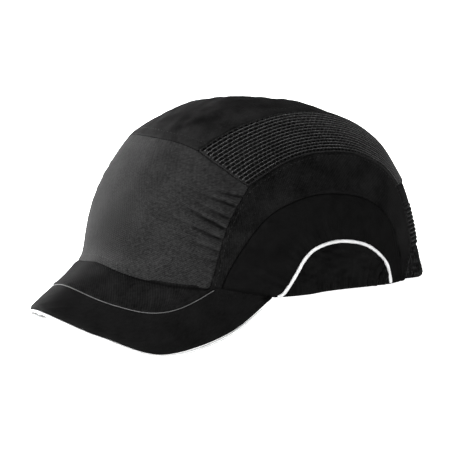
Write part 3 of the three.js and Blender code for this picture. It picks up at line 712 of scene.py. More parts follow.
SHELL_PLASTIC = moulded("shell_plastic", 0.006, 0.012, 0.45)
BUCKLE_NYLON = moulded("buckle_nylon", 0.004, 0.009, 0.4, 0.0006, 0.00003)
BOARD_PLASTIC = moulded("board_plastic", 0.015, 0.025, 0.5)
PIN_STEEL = bright_steel("pin_steel")
LABEL_CLOTH = smooth_cloth("label_cloth", 0.42, 0.52, 0.62, 0.05)


# ---- joining pieces to the frame ---------------------------------------------------------------
BODY = {name: body_of(node)[0] for name, node in frame["nodes"].items()}


def belongs(obj, slot, *nodes, body=None):
    """The piece rides with the CAD nodes it stands for, and hides them. The slot is not used."""
    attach(obj, body or BODY[nodes[0]])
    if nodes:
        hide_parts(*nodes)
    return obj


def cloth_panel(panel, name, slot, material, *nodes, thickness=1.2, rests_on=(), with_pieces=()):
    obj = belongs(panel.build(name, material, thickness), slot, *nodes)
    rests_on = list(rests_on) or ["protective_shell"]
    area_of(panel.points)
    return obj


# ---- cords, threads and stitches ---------------------------------------------------------------
def frames_along(centres, facing):
    """Tangents, facings square to them, and sideways directions along a line."""
    tangent = unit(np.gradient(centres, axis=0))
    facing = unit(facing - tangent * np.sum(facing * tangent, -1, keepdims=True))
    return tangent, facing, np.cross(tangent, facing)


def rope(name, centres, facing, material, radius, sides=12, flatten=1.0):
    """A round cord with domed ends along a line in the wearing frame."""
    centres = np.asarray(centres, float)
    tangent, facing, side = frames_along(centres, np.asarray(facing, float))
    radii = np.broadcast_to(np.asarray(radius, float), len(centres))
    dome = np.linspace(0, math.pi / 2, 5)[:-1]
    start = centres[0] - np.outer(np.cos(dome) * radii[0], tangent[0])
    end = centres[-1] + np.outer(np.cos(dome[::-1]) * radii[-1], tangent[-1])
    spread = lambda a, k: np.repeat(a[k : k + 1] if k >= 0 else a[-1:], len(dome), 0)
    centres = np.vstack([start, centres, end])
    facing = np.vstack([spread(facing, 0), facing, spread(facing, -1)])
    side = np.vstack([spread(side, 0), side, spread(side, -1)])
    radii = np.concatenate([np.sin(dome) * radii[0], radii, np.sin(dome[::-1]) * radii[-1]])
    turn = np.linspace(0, 2 * math.pi, sides, endpoint=False)
    ring = side[:, None] * np.cos(turn)[None, :, None]
    ring = ring + facing[:, None] * (flatten * np.sin(turn))[None, :, None]
    points = centres[:, None] + ring * radii[:, None, None]
    s = travelled(centres)
    uv = np.stack(np.broadcast_arrays(s[:, None], (turn * radii.max())[None, :]), -1) * MM
    faces = grid_faces(*points.shape[:2], wrap=True)
    flat_points = to_world(points.reshape(-1, 3))
    return tidy_mesh(mesh_object(name, flat_points, faces, material, uv=uv.reshape(-1, 2)))


def bead_template(rings=5, sides=6):
    """A unit ball along x: points, and faces that close it."""
    lift = np.linspace(-math.pi / 2, math.pi / 2, rings + 2)[1:-1]
    turn = np.linspace(0, 2 * math.pi, sides, endpoint=False)
    body = [
        [math.sin(a), math.cos(a) * math.cos(b), math.cos(a) * math.sin(b)]
        for a in lift
        for b in turn
    ]
    points = np.array([[-1, 0, 0], *body, [1, 0, 0]], float)
    faces = grid_faces(rings, sides, 1, wrap=True)
    last = 1 + (rings - 1) * sides
    for k in range(sides):
        faces.append([0, 1 + (k + 1) % sides, 1 + k])
        faces.append([len(points) - 1, last + k, last + (k + 1) % sides])
    return points, faces


def value_at(values, s, at):
    """A line's values at distances along it, from their values at its points."""
    return np.stack([np.interp(at, s, values[:, k]) for k in range(3)], -1)


def stitches(name, rows, material, length=2.1, gap=1.0, radius=0.17, sink=0.06):
    """Rows of stitches, each row a line of points with the cloth's normals along it."""
    ball, ball_faces = bead_template()
    all_points, all_faces, all_uv = [], [], []
    start = 0
    for points, normals in rows:
        s = travelled(points)
        count = max(1, int(s[-1] / (length + gap)))
        middles = (np.arange(count) + 0.5) * s[-1] / count
        centre, normal = value_at(points, s, middles), value_at(normals, s, middles)
        front_end = value_at(points, s, middles + length / 2)
        ahead = front_end - value_at(points, s, middles - length / 2)
        tangent = unit(ahead)
        normal = unit(normal - tangent * np.sum(normal * tangent, -1, keepdims=True))
        side = np.cross(normal, tangent)
        bow = sink * (1 - 2.4 * ball[:, 0] ** 2)
        made = centre[:, None] + tangent[:, None] * (ball[:, 0] * length / 2)[None, :, None]
        made = made + side[:, None] * (ball[:, 1] * radius)[None, :, None]
        made = made + normal[:, None] * (ball[:, 2] * radius * 0.7 + bow)[None, :, None]
        all_points.append(made.reshape(-1, 3))
        one_uv = np.stack([ball[:, 0] * length / 2, ball[:, 1] * radius], -1) * MM
        all_uv.append(np.tile(one_uv, (count, 1)))
        for k in range(count):
            all_faces += [[i + start + k * len(ball) for i in face] for face in ball_faces]
        start += count * len(ball)
    points = to_world(np.vstack(all_points))
    return tidy_mesh(mesh_object(name, points, all_faces, material, uv=np.vstack(all_uv)))


def lay_on_crown(points, lift=0.0):
    """Points moved to a lift above the crown, with the crown's normals there."""
    surface = on_crown(points)
    normal = crown_normal(surface)
    return surface + normal * lift, normal


def slab(name, at, size, shallow, deep, material, edge, corner=0.0, relief=None, coarse=1.5):
    """A strip or pad with rounded edges, placed by at(u, v, depth), with depths in millimetres."""
    u = stations(size[0], edge / 3, coarse, min(edge, size[0] / 3))
    v = stations(size[1], edge / 3, coarse, min(edge, size[1] / 3))
    u, v = np.meshgrid(u, v)
    clear = np.minimum.reduce([u * size[0], (1 - u) * size[0], v * size[1], (1 - v) * size[1]])
    share = np.clip(clear / edge, 0, 1)
    half = (deep - shallow) / 2 * np.sqrt(1 - (1 - share) ** 2)
    middle = (deep + shallow) / 2
    x, y = 2 * u - 1, 2 * v - 1
    x, y = x * np.sqrt(1 - corner * y**2 / 2), y * np.sqrt(1 - corner * x**2 / 2)
    a, b = (x + 1) / 2, (y + 1) / 2
    lift = np.zeros(u.shape) if relief is None else relief(u * size[0], v * size[1]) * share
    outer, inner = at(a, b, middle - half - lift), at(a, b, middle + half - lift)
    uv = np.stack([u * size[0], v * size[1]], -1) * MM
    return tidy_mesh(shell_between(name, outer, inner, material, uv))


# ---- the spacer mesh ---------------------------------------------------------------------------
class Lattice:
    """Knitted mesh with staggered oval holes, laid over a panel of the crown."""

    HOLE = (0.41, 0.38)  # half-axes of a hole, as shares of a cell
    RIDGE, WAIST, LIP = 0.75, -0.3, -0.55  # heights between the rows, between holes, and at a hole
    DEPTH = 1.15
    QUARTERS = [(0, 0), (0.25, 0), (0.5, 0), (0.75, 0), (1, 0), (1, 0.5)]
    RIM = QUARTERS + [(1 - x, 1 - y) for x, y in QUARTERS]

    def __init__(self, panel, columns, rows, border, floor=None):
        self.panel, self.columns, self.rows = panel, columns, rows
        self.margin = [border * MM / length for length in panel.size]
        self.floor = floor or (lambda u: np.zeros(np.shape(u)))
        self.corners, self.faces = [], []

    def quad_strip(self, top, bottom, count, reverse=False):
        for k in range(count):
            n = (k + 1) % count
            face = [top + k, top + n, bottom + n, bottom + k]
            self.faces.append(face[::-1] if reverse else face)

    def buried(self, xs, ys):
        """True if a piece of the lattice lies wholly below the panel's lower edge."""
        u_of, v_of = self.shares()
        return bool(np.all(v_of(ys[-1]) <= self.floor(u_of([xs[0], xs[-1]])) + 1e-6))

    def holed(self, x0, y0):
        base = len(self.corners)
        heights = [self.RIDGE if y in (0, 1) else self.WAIST for x, y in self.RIM]
        for (x, y), height in zip(self.RIM, heights):
            self.corners.append((x0 + x, y0 + y, height))
        hole = []
        for x, y in self.RIM:
            turn = math.atan2(y - 0.5, x - 0.5)
            hole.append((0.5 + self.HOLE[0] * math.cos(turn), 0.5 + self.HOLE[1] * math.sin(turn)))
        halfway = [(height + self.LIP) / 2 + 0.14 for height in heights]
        rings = ((0.55, halfway), (1.0, [self.LIP] * 12), (0.93, [-self.DEPTH] * 12))
        for share, levels in rings:
            for (x, y), (hx, hy), height in zip(self.RIM, hole, levels):
                mx, my = x + (hx - x) * share, y + (hy - y) * share
                self.corners.append((x0 + mx, y0 + my, height))
        for x, y in self.RIM:
            self.corners.append((x0 + x, y0 + y, -self.DEPTH))
        count = len(self.RIM)
        for ring in range(4):
            self.quad_strip(base + ring * count, base + (ring + 1) * count, count)

    def plain(self, xs, ys):
        """A patch without a hole, on both faces of the mesh."""
        if self.buried(xs, ys):
            return
        for deep in (False, True):
            base = len(self.corners)
            for y in ys:
                for x in xs:
                    edge = x in (-1, self.columns + 1) or y in (-1, self.rows + 1)
                    height = -self.DEPTH if deep else self.strand_height(x, y, xs)
                    self.corners.append((x, y, 0.0 if edge else height))
            self.faces += grid_faces(len(ys), len(xs), base, flip=deep)

    def strand_height(self, x, y, xs):
        if not (0 <= x <= self.columns and 0 <= y <= self.rows):
            return 0.22
        if float(y).is_integer():
            return self.RIDGE
        return self.WAIST if x in (xs[0], xs[-1]) else self.WAIST + 0.08

    def build(self, name, material):
        u_of, v_of = self.shares()
        for row in range(self.rows):
            odd = row % 2
            for column in range(self.columns - odd):
                x0 = column + odd / 2
                middle = v_of(row + 0.5)
                if middle < self.floor(u_of(x0 + 0.5)) + 0.42 / self.rows:
                    self.plain([x0 + k / 4 for k in range(5)], [row, row + 0.5, row + 1])
                else:
                    self.holed(x0, row)
            if odd:
                for x0 in (0, self.columns - 0.5):
                    self.plain([x0, x0 + 0.25, x0 + 0.5], [row, row + 0.5, row + 1])
        quarters = [k / 4 for k in range(4 * self.columns + 1)]
        halves = [k / 2 for k in range(2 * self.rows + 1)]
        across = [-1, -0.5, *quarters, self.columns + 0.5, self.columns + 1]
        for ys in ([-1, -0.5, 0], [self.rows, self.rows + 0.5, self.rows + 1]):
            for pair in zip(across[:-1], across[1:]):
                self.plain(list(pair), ys)
        for xs in ([-1, -0.5, 0], [self.columns, self.columns + 0.5, self.columns + 1]):
            self.plain(xs, halves)
        x, y, height = np.array(self.corners, float).T
        u, v = u_of(x), v_of(y)
        low = self.floor(u)
        height = np.where((v <= low) & (low > 0), 0.0, height)
        v = np.maximum(v, low)
        points, uv = self.on_panel(u, v, height)
        inside = (x > 0) & (x < self.columns) & (y > 0) & (y < self.rows)
        # The heights go on as the "raised" attribute for the strands' painted shade and light;
        # outside the holed field they stay below the lit ridges.
        raised = np.where(inside, height, np.minimum(height, 0.35))
        made = mesh_object(name, to_world(points), self.faces, material, uv=uv, raised=raised)
        return tidy_mesh(made, 4e-6)

    def shares(self):
        def share(position, count, margin):
            inside = margin + (1 - 2 * margin) * np.clip(position, 0, count) / count
            before = margin * (1 + np.clip(position, -1, 0))
            after = 1 - margin * (1 - np.clip(position - count, 0, 1))
            return np.where(position < 0, before, np.where(position > count, after, inside))
        u_of = lambda x: share(np.asarray(x, float), self.columns, self.margin[0])
        v_of = lambda y: share(np.asarray(y, float), self.rows, self.margin[1])
        return u_of, v_of

    def on_panel(self, u, v, height):
        """Points of the panel's relief, raised by a height, and their places on the cloth."""
        p = self.panel
        i = np.interp(u, p.u, np.arange(len(p.u)))
        j = np.interp(v, p.v, np.arange(len(p.v)))
        i0 = np.minimum(i.astype(int), len(p.u) - 2)
        j0 = np.minimum(j.astype(int), len(p.v) - 2)
        a, b = i - i0, j - j0

        def pick(grid):
            extra = (1,) * (grid.ndim - 2)
            s, t = a.reshape(-1, *extra), b.reshape(-1, *extra)
            low = grid[j0, i0] * (1 - s) + grid[j0, i0 + 1] * s
            high = grid[j0 + 1, i0] * (1 - s) + grid[j0 + 1, i0 + 1] * s
            return low * (1 - t) + high * t

        normal = unit(pick(p.normals))
        points = pick(p.points) + normal * (pick(p.height) + height)[:, None]
        return points, np.stack([pick(p.along), pick(p.up)], -1) * MM


# ---- the cover: front and crown ----------------------------------------------------------------
def joined(*lists):
    """One line through several runs of points, with a corner where two of them meet."""
    dense = [catmull_rom(points) for points in lists]
    whole = np.vstack([dense[0], *[d[1:] for d in dense[1:]]])
    return lambda t: resample(whole, np.clip(t, 0, 1))


front_side = line(FRONT_SIDE)
other_front_side = line(mirrored(FRONT_SIDE))
front_top = joined(
    mirrored(MESH_FRONT), mirrored(CROWN_FRONT[::-1])[:-1] + CROWN_FRONT, MESH_FRONT[::-1],
)
front_hem = line(both_sides(HEM_FRONT))
front = Panel(coons(front_hem, front_top, other_front_side, front_side), coarse=1.3)
front.roll(1.0).pillow(0.25, 3.0).pillow(1.5, 1.7, ("bottom",))
front.hills(0.42, 46, 3)
front.pucker("end", 0.34, 9.5, 5.0, 11)
front.pucker("start", 0.34, 9.5, 5.0, 12)
front.pucker("top", 0.22, 12, 4.0, 13)
front.groove("top", 6.8, 0.16, 0.8)
front.groove("bottom", 5.5, 0.16, 0.8)
# Creases run up and away from the side seams: share of the seam's length, depth, reach, slope.
CREASES = [
    (0.12, 1.2, 16, 0.1), (0.26, 1.6, 22, 0.2), (0.35, 2.0, 26, 0.3), (0.46, 2.6, 32, 0.35),
    (0.56, 3.2, 38, 0.42), (0.66, 1.7, 24, 0.35), (0.79, 2.6, 32, 0.25), (0.89, 2.2, 28, 0.1),
]
for edge in ("start", "end"):
    from_seam = getattr(front, edge)
    for share, depth, far, slope in CREASES:
        ridge = share * front.up[-1, -1] + slope * from_seam
        bend = crease(front.up - ridge, 1.1) - 0.85 * crease(front.up - ridge - 2.3, 1.5)
        front.height -= depth * bend * fade(from_seam, far * 0.55) * (1 - fade(from_seam, 0.9))

crown = Panel(
    coons(
        line(both_sides(CROWN_FRONT)), level_line(-CROWN_BEARING, CROWN_BEARING, YOKE_HIGH),
        line(mirrored(CROWN_SIDE)), line(CROWN_SIDE),
    ),
    coarse=1.6,
)
crown.roll(1.0).pillow(0.3, 3.5)
crown.hills(0.8, 60, 5).hills(0.6, 24, 6).hills(0.26, 11, 7)
crown.pucker("bottom", 0.2, 13, 4.5, 15)
for edge, seed in (("start", 16), ("end", 17)):
    crown.pucker(edge, 0.2, 15, 4.0, seed)
    crown.groove(edge, 6.2, 0.14, 0.8)
crown.groove("bottom", 6.4, 0.2, 0.9)

front_rows = [front.row("top", 6.8), front.row("bottom", 5.5)]
front_stitches = stitches("front_stitches", front_rows, THREAD)
crown_rows = [crown.row("bottom", 6.4), crown.row("start", 6.2), crown.row("end", 6.2)]
crown_stitches = stitches("crown_stitches", crown_rows, THREAD)
for obj in (front_stitches, crown_stitches):
    belongs(obj, "black_cotton", body=BODY["front_panel"])
cloth_panel(
    front, "front_cloth", "front_cotton", FRONT_TWILL, "front_panel", with_pieces=[front_stitches],
)
cloth_panel(
    crown, "crown_cloth", "black_cotton", CROWN_TWILL, "crown_panel", with_pieces=[crown_stitches],
)

# ---- the cover: sides --------------------------------------------------------------------------
GROUND_DEPTH, GROUND_BACK = 1.35, 1.95  # the mesh backing's two faces, below the panel
MESH_CELLS, MESH_BORDER = (46, 15), 1.1
back_edge = catmull_rom(BAND_BACK)


def back_bearing(z):
    """Bearing of the side band's rear edge at a height, in degrees from the middle of the back."""
    bearing = np.degrees(np.arctan2(back_edge[:, 0], back_edge[:, 1]))
    return np.interp(z, back_edge[::-1, 2], bearing[::-1])


mesh_side = Panel(
    coons(
        line(BAND_TOP), line(CROWN_SIDE), line(MESH_FRONT),
        level_line(YOKE_BEARING, CROWN_BEARING, YOKE_HIGH),
    ),
    coarse=1.6,
)
mesh_side.roll(0.9).pillow(0.2, 3.0).hills(0.55, 40, 21)
mesh_side.pucker("bottom", 0.16, 14, 4.0, 22)

band_outer = joined(FRONT_SIDE, BAND_TOP, BAND_BACK)
band = Panel(ruled(line(ARCH), band_outer), fine=0.4, coarse=1.2)
band.roll(0.9).pillow(0.45, 2.0)
band.hills(0.35, 24, 25)
band.pucker("bottom", 0.16, 10, 3.5, 26)
band.pucker("top", 0.2, 11, 3.5, 27)

arch = Panel(ruled(line(PIPING), line(ARCH)), fine=0.4, coarse=0.9)
arch.roll(0.8)
arch.pillow(0.35, 3.2, ("top",))
ARCH_LENGTH = 118
arch_share = arch.along / arch.along[:, -1:]
on_arch = arch_share * ARCH_LENGTH
gathers = wander(on_arch, 5.2, 31) + 0.6 * wander(on_arch, 2.9, 32)
crowded = 0.25 + 0.9 * crease(arch_share - 0.5, 0.22)
arch.height += 0.4 * crowded * gathers * fade(arch.bottom, 7.5) * (1 - fade(arch.bottom, 0.7))
arch.pucker("top", 0.22, 8.0, 5.0, 33)
arch.hills(0.3, 22, 34)
from_foot = arch.start - 8.5 - 0.25 * arch.up
foot = crease(from_foot, 1.3) - 0.7 * crease(from_foot - 2.7, 1.5)
arch.height -= 1.1 * foot * fade(np.abs(arch.up - 6), 8)

ear = Panel(ruled(line(HEM_EAR), line(PIPING)), fine=0.4, coarse=0.7)
ear.roll(0.7)
EAR_LENGTH = 86
ear_share = ear.along / ear.along[:, -1:]
on_ear = ear_share * EAR_LENGTH
ruffle = wander(on_ear, 4.6, 41) + 0.5 * wander(on_ear, 2.6, 42)
fullness = 0.8 + 0.3 * wander(on_ear, 24, 48)
ear.height += 0.8 * ruffle * fullness * fade(ear.bottom, 6) * (1 - fade(ear.bottom, 0.5))
for share, depth in ((0.83, 2.2), (0.93, 1.2)):
    from_fold = (ear_share - share) * EAR_LENGTH - 0.12 * ear.up
    bend = crease(from_fold, 1.2) - 0.9 * crease(from_fold - 2.6, 1.5)
    ear.height += depth * bend * (1 - fade(ear.top, 3.0))
across = wander(ear.up + 0.1 * ear.along, 7.0, 46) * wander(ear.along, 21.0, 47)
ear.height += 0.5 * across * np.clip(ear.bottom / 8, 0, 1) * (1 - fade(ear.top, 3.0))
ear.pucker("top", 0.3, 4.2, 4.0, 44)
ear.hills(0.4, 13, 45)


def side_pieces(side):
    """The mesh, band, arch and ear panels of one side, with the cords and threads between them."""
    flip = np.array([1 if side == "left" else -1, 1, 1])

    def named(obj, name, slot, *nodes, cloth=None, with_pieces=(), held="stretched"):
        if side == "right":
            obj.data.transform(Matrix.Scale(-1, 4, (1, 0, 0)))
            obj.data.flip_normals()
        obj.name = f"{name}_{side}"
        nodes = [f"{node}_{side}" for node in nodes]
        belongs(obj, slot, *nodes, body=BODY["front_panel"])
        if cloth is not None:
            area_of(cloth.points)
        return obj

    lattice = Lattice(mesh_side, *MESH_CELLS, MESH_BORDER)
    ground = mesh_side.points + mesh_side.normals * -GROUND_DEPTH
    under = mesh_side.points + mesh_side.normals * -GROUND_BACK
    backing = shell_between("mesh_ground", ground, under, MESH_GROUND, mesh_side.uv())
    named(backing, "mesh_ground", "spacer_mesh")
    named(
        lattice.build("mesh_cloth", MESH_STRAND), "mesh_cloth", "spacer_mesh", "mesh_panel",
        cloth=mesh_side, with_pieces=[backing],
    )
    band_stitches = stitches("band_stitches", [band.row("top", 2.6)], THREAD, 2.0, 0.9)
    named(band_stitches, "band_stitches", "band_cotton")
    named(
        band.build("band_cloth", BAND_TWILL), "band_cloth", "band_cotton", "side_band",
        cloth=band, with_pieces=[band_stitches],
    )
    named(arch.build("arch_cloth", SATIN), "arch_cloth", "satin", "arch_panel", cloth=arch)
    named(
        ear.build("ear_cloth", EAR_SATIN, 1.0), "ear_cloth", "satin", "ear_panel",
        cloth=ear, held="gathered",
    )
    route = line(PIPING)(np.linspace(0.012, 0.988, 150))
    centres, normals = lay_on_crown(route, 0.25)
    width = 1.0 + 0.05 * wander(travelled(centres), 7, 51)
    cord = rope("piping_cord", centres, normals, REFLECTIVE, width, 16)
    named(cord, "piping_cord", "reflective_piping", "piping")


for side in ("left", "right"):
    side_pieces(side)

# ---- the back of the cover ---------------------------------------------------------------------
def round_the_back(low, high):
    """A patch right round the back between two heights, up to the side bands' rear edges."""
    def at(u, v):
        z = low + (high - low) * v
        return at_height((2 * u - 1) * back_bearing(z), z)
    return at


def as_placed(points):
    return points


yoke = Panel(round_the_back(YOKE_LOW, YOKE_HIGH), coarse=1.3, place=as_placed)
yoke.roll(0.9).pillow(0.2, 2.5).pucker("bottom", 0.14, 10, 3.0, 61).pucker("top", 0.14, 11, 3.0, 62)
yoke.groove("bottom", 3.0, 0.15, 0.7)
yoke.groove("top", 3.0, 0.15, 0.7)
yoke_stitches = stitches("yoke_stitches", [yoke.row("bottom", 3.0), yoke.row("top", 3.0)], THREAD)
belongs(yoke_stitches, "band_cotton", body=BODY["rear_yoke"])
cloth_panel(
    yoke, "yoke_cloth", "band_cotton", BAND_TWILL, "rear_yoke", rests_on=["rear_pad_foam"],
    with_pieces=[yoke_stitches],
)

MESH_FOOT = BAND_HIGH + 0.6
NAPE_MESH_LEFT = 0.74  # share of the nape mesh that the opening leaves
NAPE_GROUND_BACK = 1.9
nape_mesh = Panel(round_the_back(MESH_FOOT, YOKE_LOW), coarse=1.6, place=as_placed)
nape_mesh.roll(0.9).pillow(0.15, 3.0).hills(0.35, 30, 63)


def arch_height(x):
    """Height of the bound edge over the opening, at x from the middle."""
    share = np.clip(np.abs(x) / OPENING_HALF, 0, 1)
    return BAND_HIGH + 0.7 + (OPENING_TOP - BAND_HIGH) * np.sqrt(1 - share**2)


def nape_floor(u):
    """Where the nape mesh's lower edge lies, as a share of its height."""
    x = at_height((2 * np.asarray(u) - 1) * back_bearing(30.0), 30.0)[..., 0]
    edge = (arch_height(x) + 0.4 - MESH_FOOT) / (YOKE_LOW - MESH_FOOT)
    return np.where(np.abs(x) < OPENING_HALF, np.clip(edge, 0, 0.96), 0.0)


nape_lattice = Lattice(nape_mesh, 46, 9, MESH_BORDER, nape_floor)
nape_cloth = nape_lattice.build("nape_mesh_cloth", MESH_STRAND)
drop = np.maximum(nape_mesh.v[:, None], nape_floor(nape_mesh.u)[None, :])
spread_u = np.broadcast_to(nape_mesh.u[None, :], drop.shape)
lift_patch = round_the_back(MESH_FOOT, YOKE_LOW)(spread_u, drop)
nape_ground = shell_between(
    "nape_mesh_ground", lift_patch - nape_mesh.normals * GROUND_DEPTH,
    lift_patch - nape_mesh.normals * NAPE_GROUND_BACK, MESH_GROUND, nape_mesh.uv(),
)
tidy_mesh(nape_ground)
belongs(nape_ground, "spacer_mesh", body=BODY["rear_mesh_panel"])
belongs(nape_cloth, "spacer_mesh", "rear_mesh_panel")
NAPE_MESH_LEFT * area_of(nape_mesh.points)

turn = np.linspace(0, math.pi, 110)
arch_x = -OPENING_HALF * np.cos(turn)
arch_line = np.stack([arch_x, np.full(turn.shape, 100.0), arch_height(arch_x)], -1)
arch_route = resample(on_crown(arch_line), np.linspace(0, 1, 120))
arch_centres, arch_normals = lay_on_crown(arch_route, 0.1)
binding = rope("binding_tape", arch_centres, arch_normals, BAND_TWILL, 1.75, 16, 0.8)
belongs(binding, "black_cotton", "rear_binding")
binding_row = (arch_centres + arch_normals * 1.4, arch_normals)
binding_stitches = stitches("binding_stitches", [binding_row], THREAD)
belongs(binding_stitches, "black_cotton", body=BODY["rear_binding"])

# ---- the strap and its sleeves, round the nape -------------------------------------------------
NAPE_RADIUS, NAPE_SLOPE = 90.2, 0.13
BAND_FROM, BAND_RISE, BAND_DEPTH, BAND_WALL = 20.0, 3.0, 6.0, 0.9
BAND_SWELL = (1.5, 44.0, 6.0)  # height, place and spread of the swelling over a strap's end
SLEEVE_LENGTH = 52.0
STRAP_OUT, STRAP_THICK, STRAP_FROM, STRAP_TO = 1.75, 1.5, -36.5, 36.0
TAB_OUT, TAB_THICK, TAB_FROM, TAB_TO = 3.7, 1.0, 15.2, 44.5


def nape_point(degrees, z, depth):
    angle = np.radians(degrees)
    r = NAPE_RADIUS - NAPE_SLOPE * z - depth
    x, y, z = np.broadcast_arrays(r * np.sin(angle), NAPE_CENTRE_Y + r * np.cos(angle), z)
    return np.stack([x, y, z], -1)


def sleeve_layer(share, turn, wall, gather):
    """A sleeve's skin: share runs from the opening to the side band, turn round its section."""
    bend = lambda t: np.sign(t) * np.sqrt(np.abs(t))
    low = BAND_LOW + BAND_RISE * share**1.5 + wall
    high = BAND_HIGH + 0.4 - wall
    z = (low + high) / 2 + (high - low) / 2 * bend(np.sin(turn))
    crown_at = at_height(BAND_FROM + (back_bearing(z) - 0.3 - BAND_FROM) * share, z)
    x, y = crown_at[..., 0], crown_at[..., 1] - NAPE_CENTRE_Y
    own = np.hypot(x, y)
    height, place, spread = BAND_SWELL
    swelling = height * np.exp(-(((np.degrees(np.arctan2(x, y)) - place) / spread) ** 2))
    outer = own + swelling - wall + gather
    inner = NAPE_RADIUS - NAPE_SLOPE * z - BAND_DEPTH + wall
    radius = inner + (outer - inner) * (bend(np.cos(turn)) + 1) / 2
    return np.stack([x / own * radius, NAPE_CENTRE_Y + y / own * radius, z], -1)


def nape_sleeve(name, side):
    """A gathered sleeve of mesh, open towards the middle of the back."""
    turn = np.linspace(0, 2 * math.pi, 72, endpoint=False)
    share = np.linspace(0, 1, 150)
    length = share * SLEEVE_LENGTH
    ends = np.clip(np.minimum(share, 1 - share) * 40, 0, 1)[:, None]
    ridges = wander(length, 3.4, 71)[:, None] * (0.6 + 0.4 * np.cos(turn * 2 + length[:, None] / 5))
    knots = wander(length[:, None] + 14 * np.sin(turn), 2.6, 72)
    gather = np.clip(0.42 * ridges + 0.3 * knots, -0.75, 0.6) * ends * (np.cos(turn) > 0)
    outer = sleeve_layer(share[:, None], turn[None, :], 0.0, gather)
    inner = sleeve_layer(np.linspace(0.97, 0, 40)[:, None], turn[None, :], BAND_WALL, 0.0)
    points = np.concatenate([outer, inner, outer[:1]]) * np.array([side, 1, 1])
    s = np.concatenate([length, length[-1] + np.linspace(1, SLEEVE_LENGTH, 41)])
    uv = np.stack(np.broadcast_arrays(s[:, None], turn[None, :] * 9), -1).reshape(-1, 2) * MM
    faces = grid_faces(*points.shape[:2], wrap=True)
    return tidy_mesh(mesh_object(name, to_world(points.reshape(-1, 3)), faces, BAND_MESH, uv=uv))


for side, sign in (("left", 1), ("right", -1)):
    sleeve = belongs(nape_sleeve(f"nape_sleeve_{side}", sign), "spacer_mesh", f"rear_band_{side}")


def nape_strip(name, start, stop, shallow, thick, material):
    def at(u, v, depth):
        height = STRAP_LOW + (STRAP_HIGH - STRAP_LOW) * v
        return nape_point(start + (stop - start) * u, height, depth)

    size = (math.radians(stop - start) * NAPE_RADIUS, STRAP_HIGH - STRAP_LOW)
    return slab(name, at, size, shallow, shallow + thick, material, thick * 0.45, coarse=1.0), size


for name, node, start, stop, shallow, thick in (
    ("strap_webbing", "size_strap", STRAP_FROM, STRAP_TO, STRAP_OUT, STRAP_THICK),
    ("tab_webbing", "buckle_tab", TAB_FROM, TAB_TO, TAB_OUT, TAB_THICK),
):
    strip, size = nape_strip(name, start, stop, shallow, thick, WEBBING)
    belongs(strip, "webbing", node)

# ---- inside the cover --------------------------------------------------------------------------
SHELL_OUT, SHELL_IN = -3.0, -4.8
PAD_OUT, PAD_IN, PAD_EDGE = -6.6, -11.4, 2.2
SWEATBAND_FOOT, SWEATBAND_STEP, SWEATBAND_THICK, SWEATBAND_HEIGHT = -2.2, 4.4, 2.4, 27.0
ELASTIC_OUT, ELASTIC_IN, ELASTIC_SIZE = -2.1, -3.3, (62, 7.8)


def eased(t):
    t = np.clip(t, 0, 1)
    return t * t * (3 - 2 * t)


def heading(degrees, z):
    """A point far out in front, turned round by degrees towards the wearer's left."""
    angle = np.radians(degrees)
    return np.stack(np.broadcast_arrays(100 * np.sin(angle), -100 * np.cos(angle), z), -1)


def moulded_shell():
    degrees = np.linspace(-180, 180, 181)[:-1]
    rim = on_crown(heading(degrees, 20 + 32 * eased((np.abs(degrees) - 40) / 100)))
    level = np.hypot(rim[:, 0], rim[:, 1])
    rise = np.arctan2(rim[:, 2] - HEART[2], level)
    outward_dir = rim[:, :2] / level[:, None]
    climb = np.linspace(0, 1, 46)
    climb = np.concatenate([[0, 0.012], climb[1:-1], [0.9995]])[:, None]
    lift = rise + (math.pi / 2 - rise) * climb
    ray = np.stack([
        outward_dir[:, 0] * np.cos(lift), outward_dir[:, 1] * np.cos(lift), np.sin(lift),
    ], -1)
    surface = on_crown(HEART + 50 * ray)
    normal = crown_normal(surface)
    middle, half = (SHELL_OUT + SHELL_IN) / 2, (SHELL_OUT - SHELL_IN) / 2
    lip = np.ones(len(climb))
    lip[0] = 0.45
    outer = surface + normal * (middle + half * lip)[:, None, None]
    inner = surface + normal * (middle - half * lip)[:, None, None]
    points = np.concatenate([outer[::-1], inner])
    uv = np.zeros((points.shape[0] * points.shape[1], 2))
    faces = grid_faces(*points.shape[:2], wrap=True)
    count = len(degrees)
    last = (len(points) - 1) * count
    faces.append(list(range(count)))
    faces.append(list(range(last, last + count))[::-1])
    world_points = to_world(points.reshape(-1, 3))
    return tidy_mesh(mesh_object("moulded_shell", world_points, faces, SHELL_PLASTIC, uv=uv))


belongs(moulded_shell(), "moulded_shell", "protective_shell")


def wall_pad(name, node, start, stop, low, high, corner=0.3):
    def at(u, v, depth):
        towards = heading(start + (stop - start) * u, low + (high - low) * v)
        return crown_point(towards, -depth)

    def dimple(x, y):
        return -0.35 * crease(x - length / 2, 2.0) + 0.12 * np.sin(x / 3.1) * np.sin(y / 2.7)

    middle = on_crown(heading(np.array([start, stop]), np.full(2, (low + high) / 2)))
    length = np.radians(abs(stop - start)) * float(np.mean(np.hypot(middle[:, 0], middle[:, 1])))
    size = (length, high - low)
    pad = slab(name, at, size, -PAD_OUT, -PAD_IN, FOAM, PAD_EDGE, corner, dimple, 1.2)
    belongs(pad, "foam", node)


wall_pad("front_pad_foam", "front_pad", -42, 42, 41, 66)
wall_pad("rear_pad_foam", "rear_pad", 148, 212, 58, 84)
wall_pad("side_pad_foam_left", "side_pad_left", 62, 122, 46, 72)
wall_pad("side_pad_foam_right", "side_pad_right", -122, -62, 46, 72)


def top_point(u, v, depth):
    q = np.stack([-27 + 54 * u, -44 + 88 * v, np.full(np.shape(u), CROWN_HEIGHT)], -1)
    return crown_point(q, -depth)


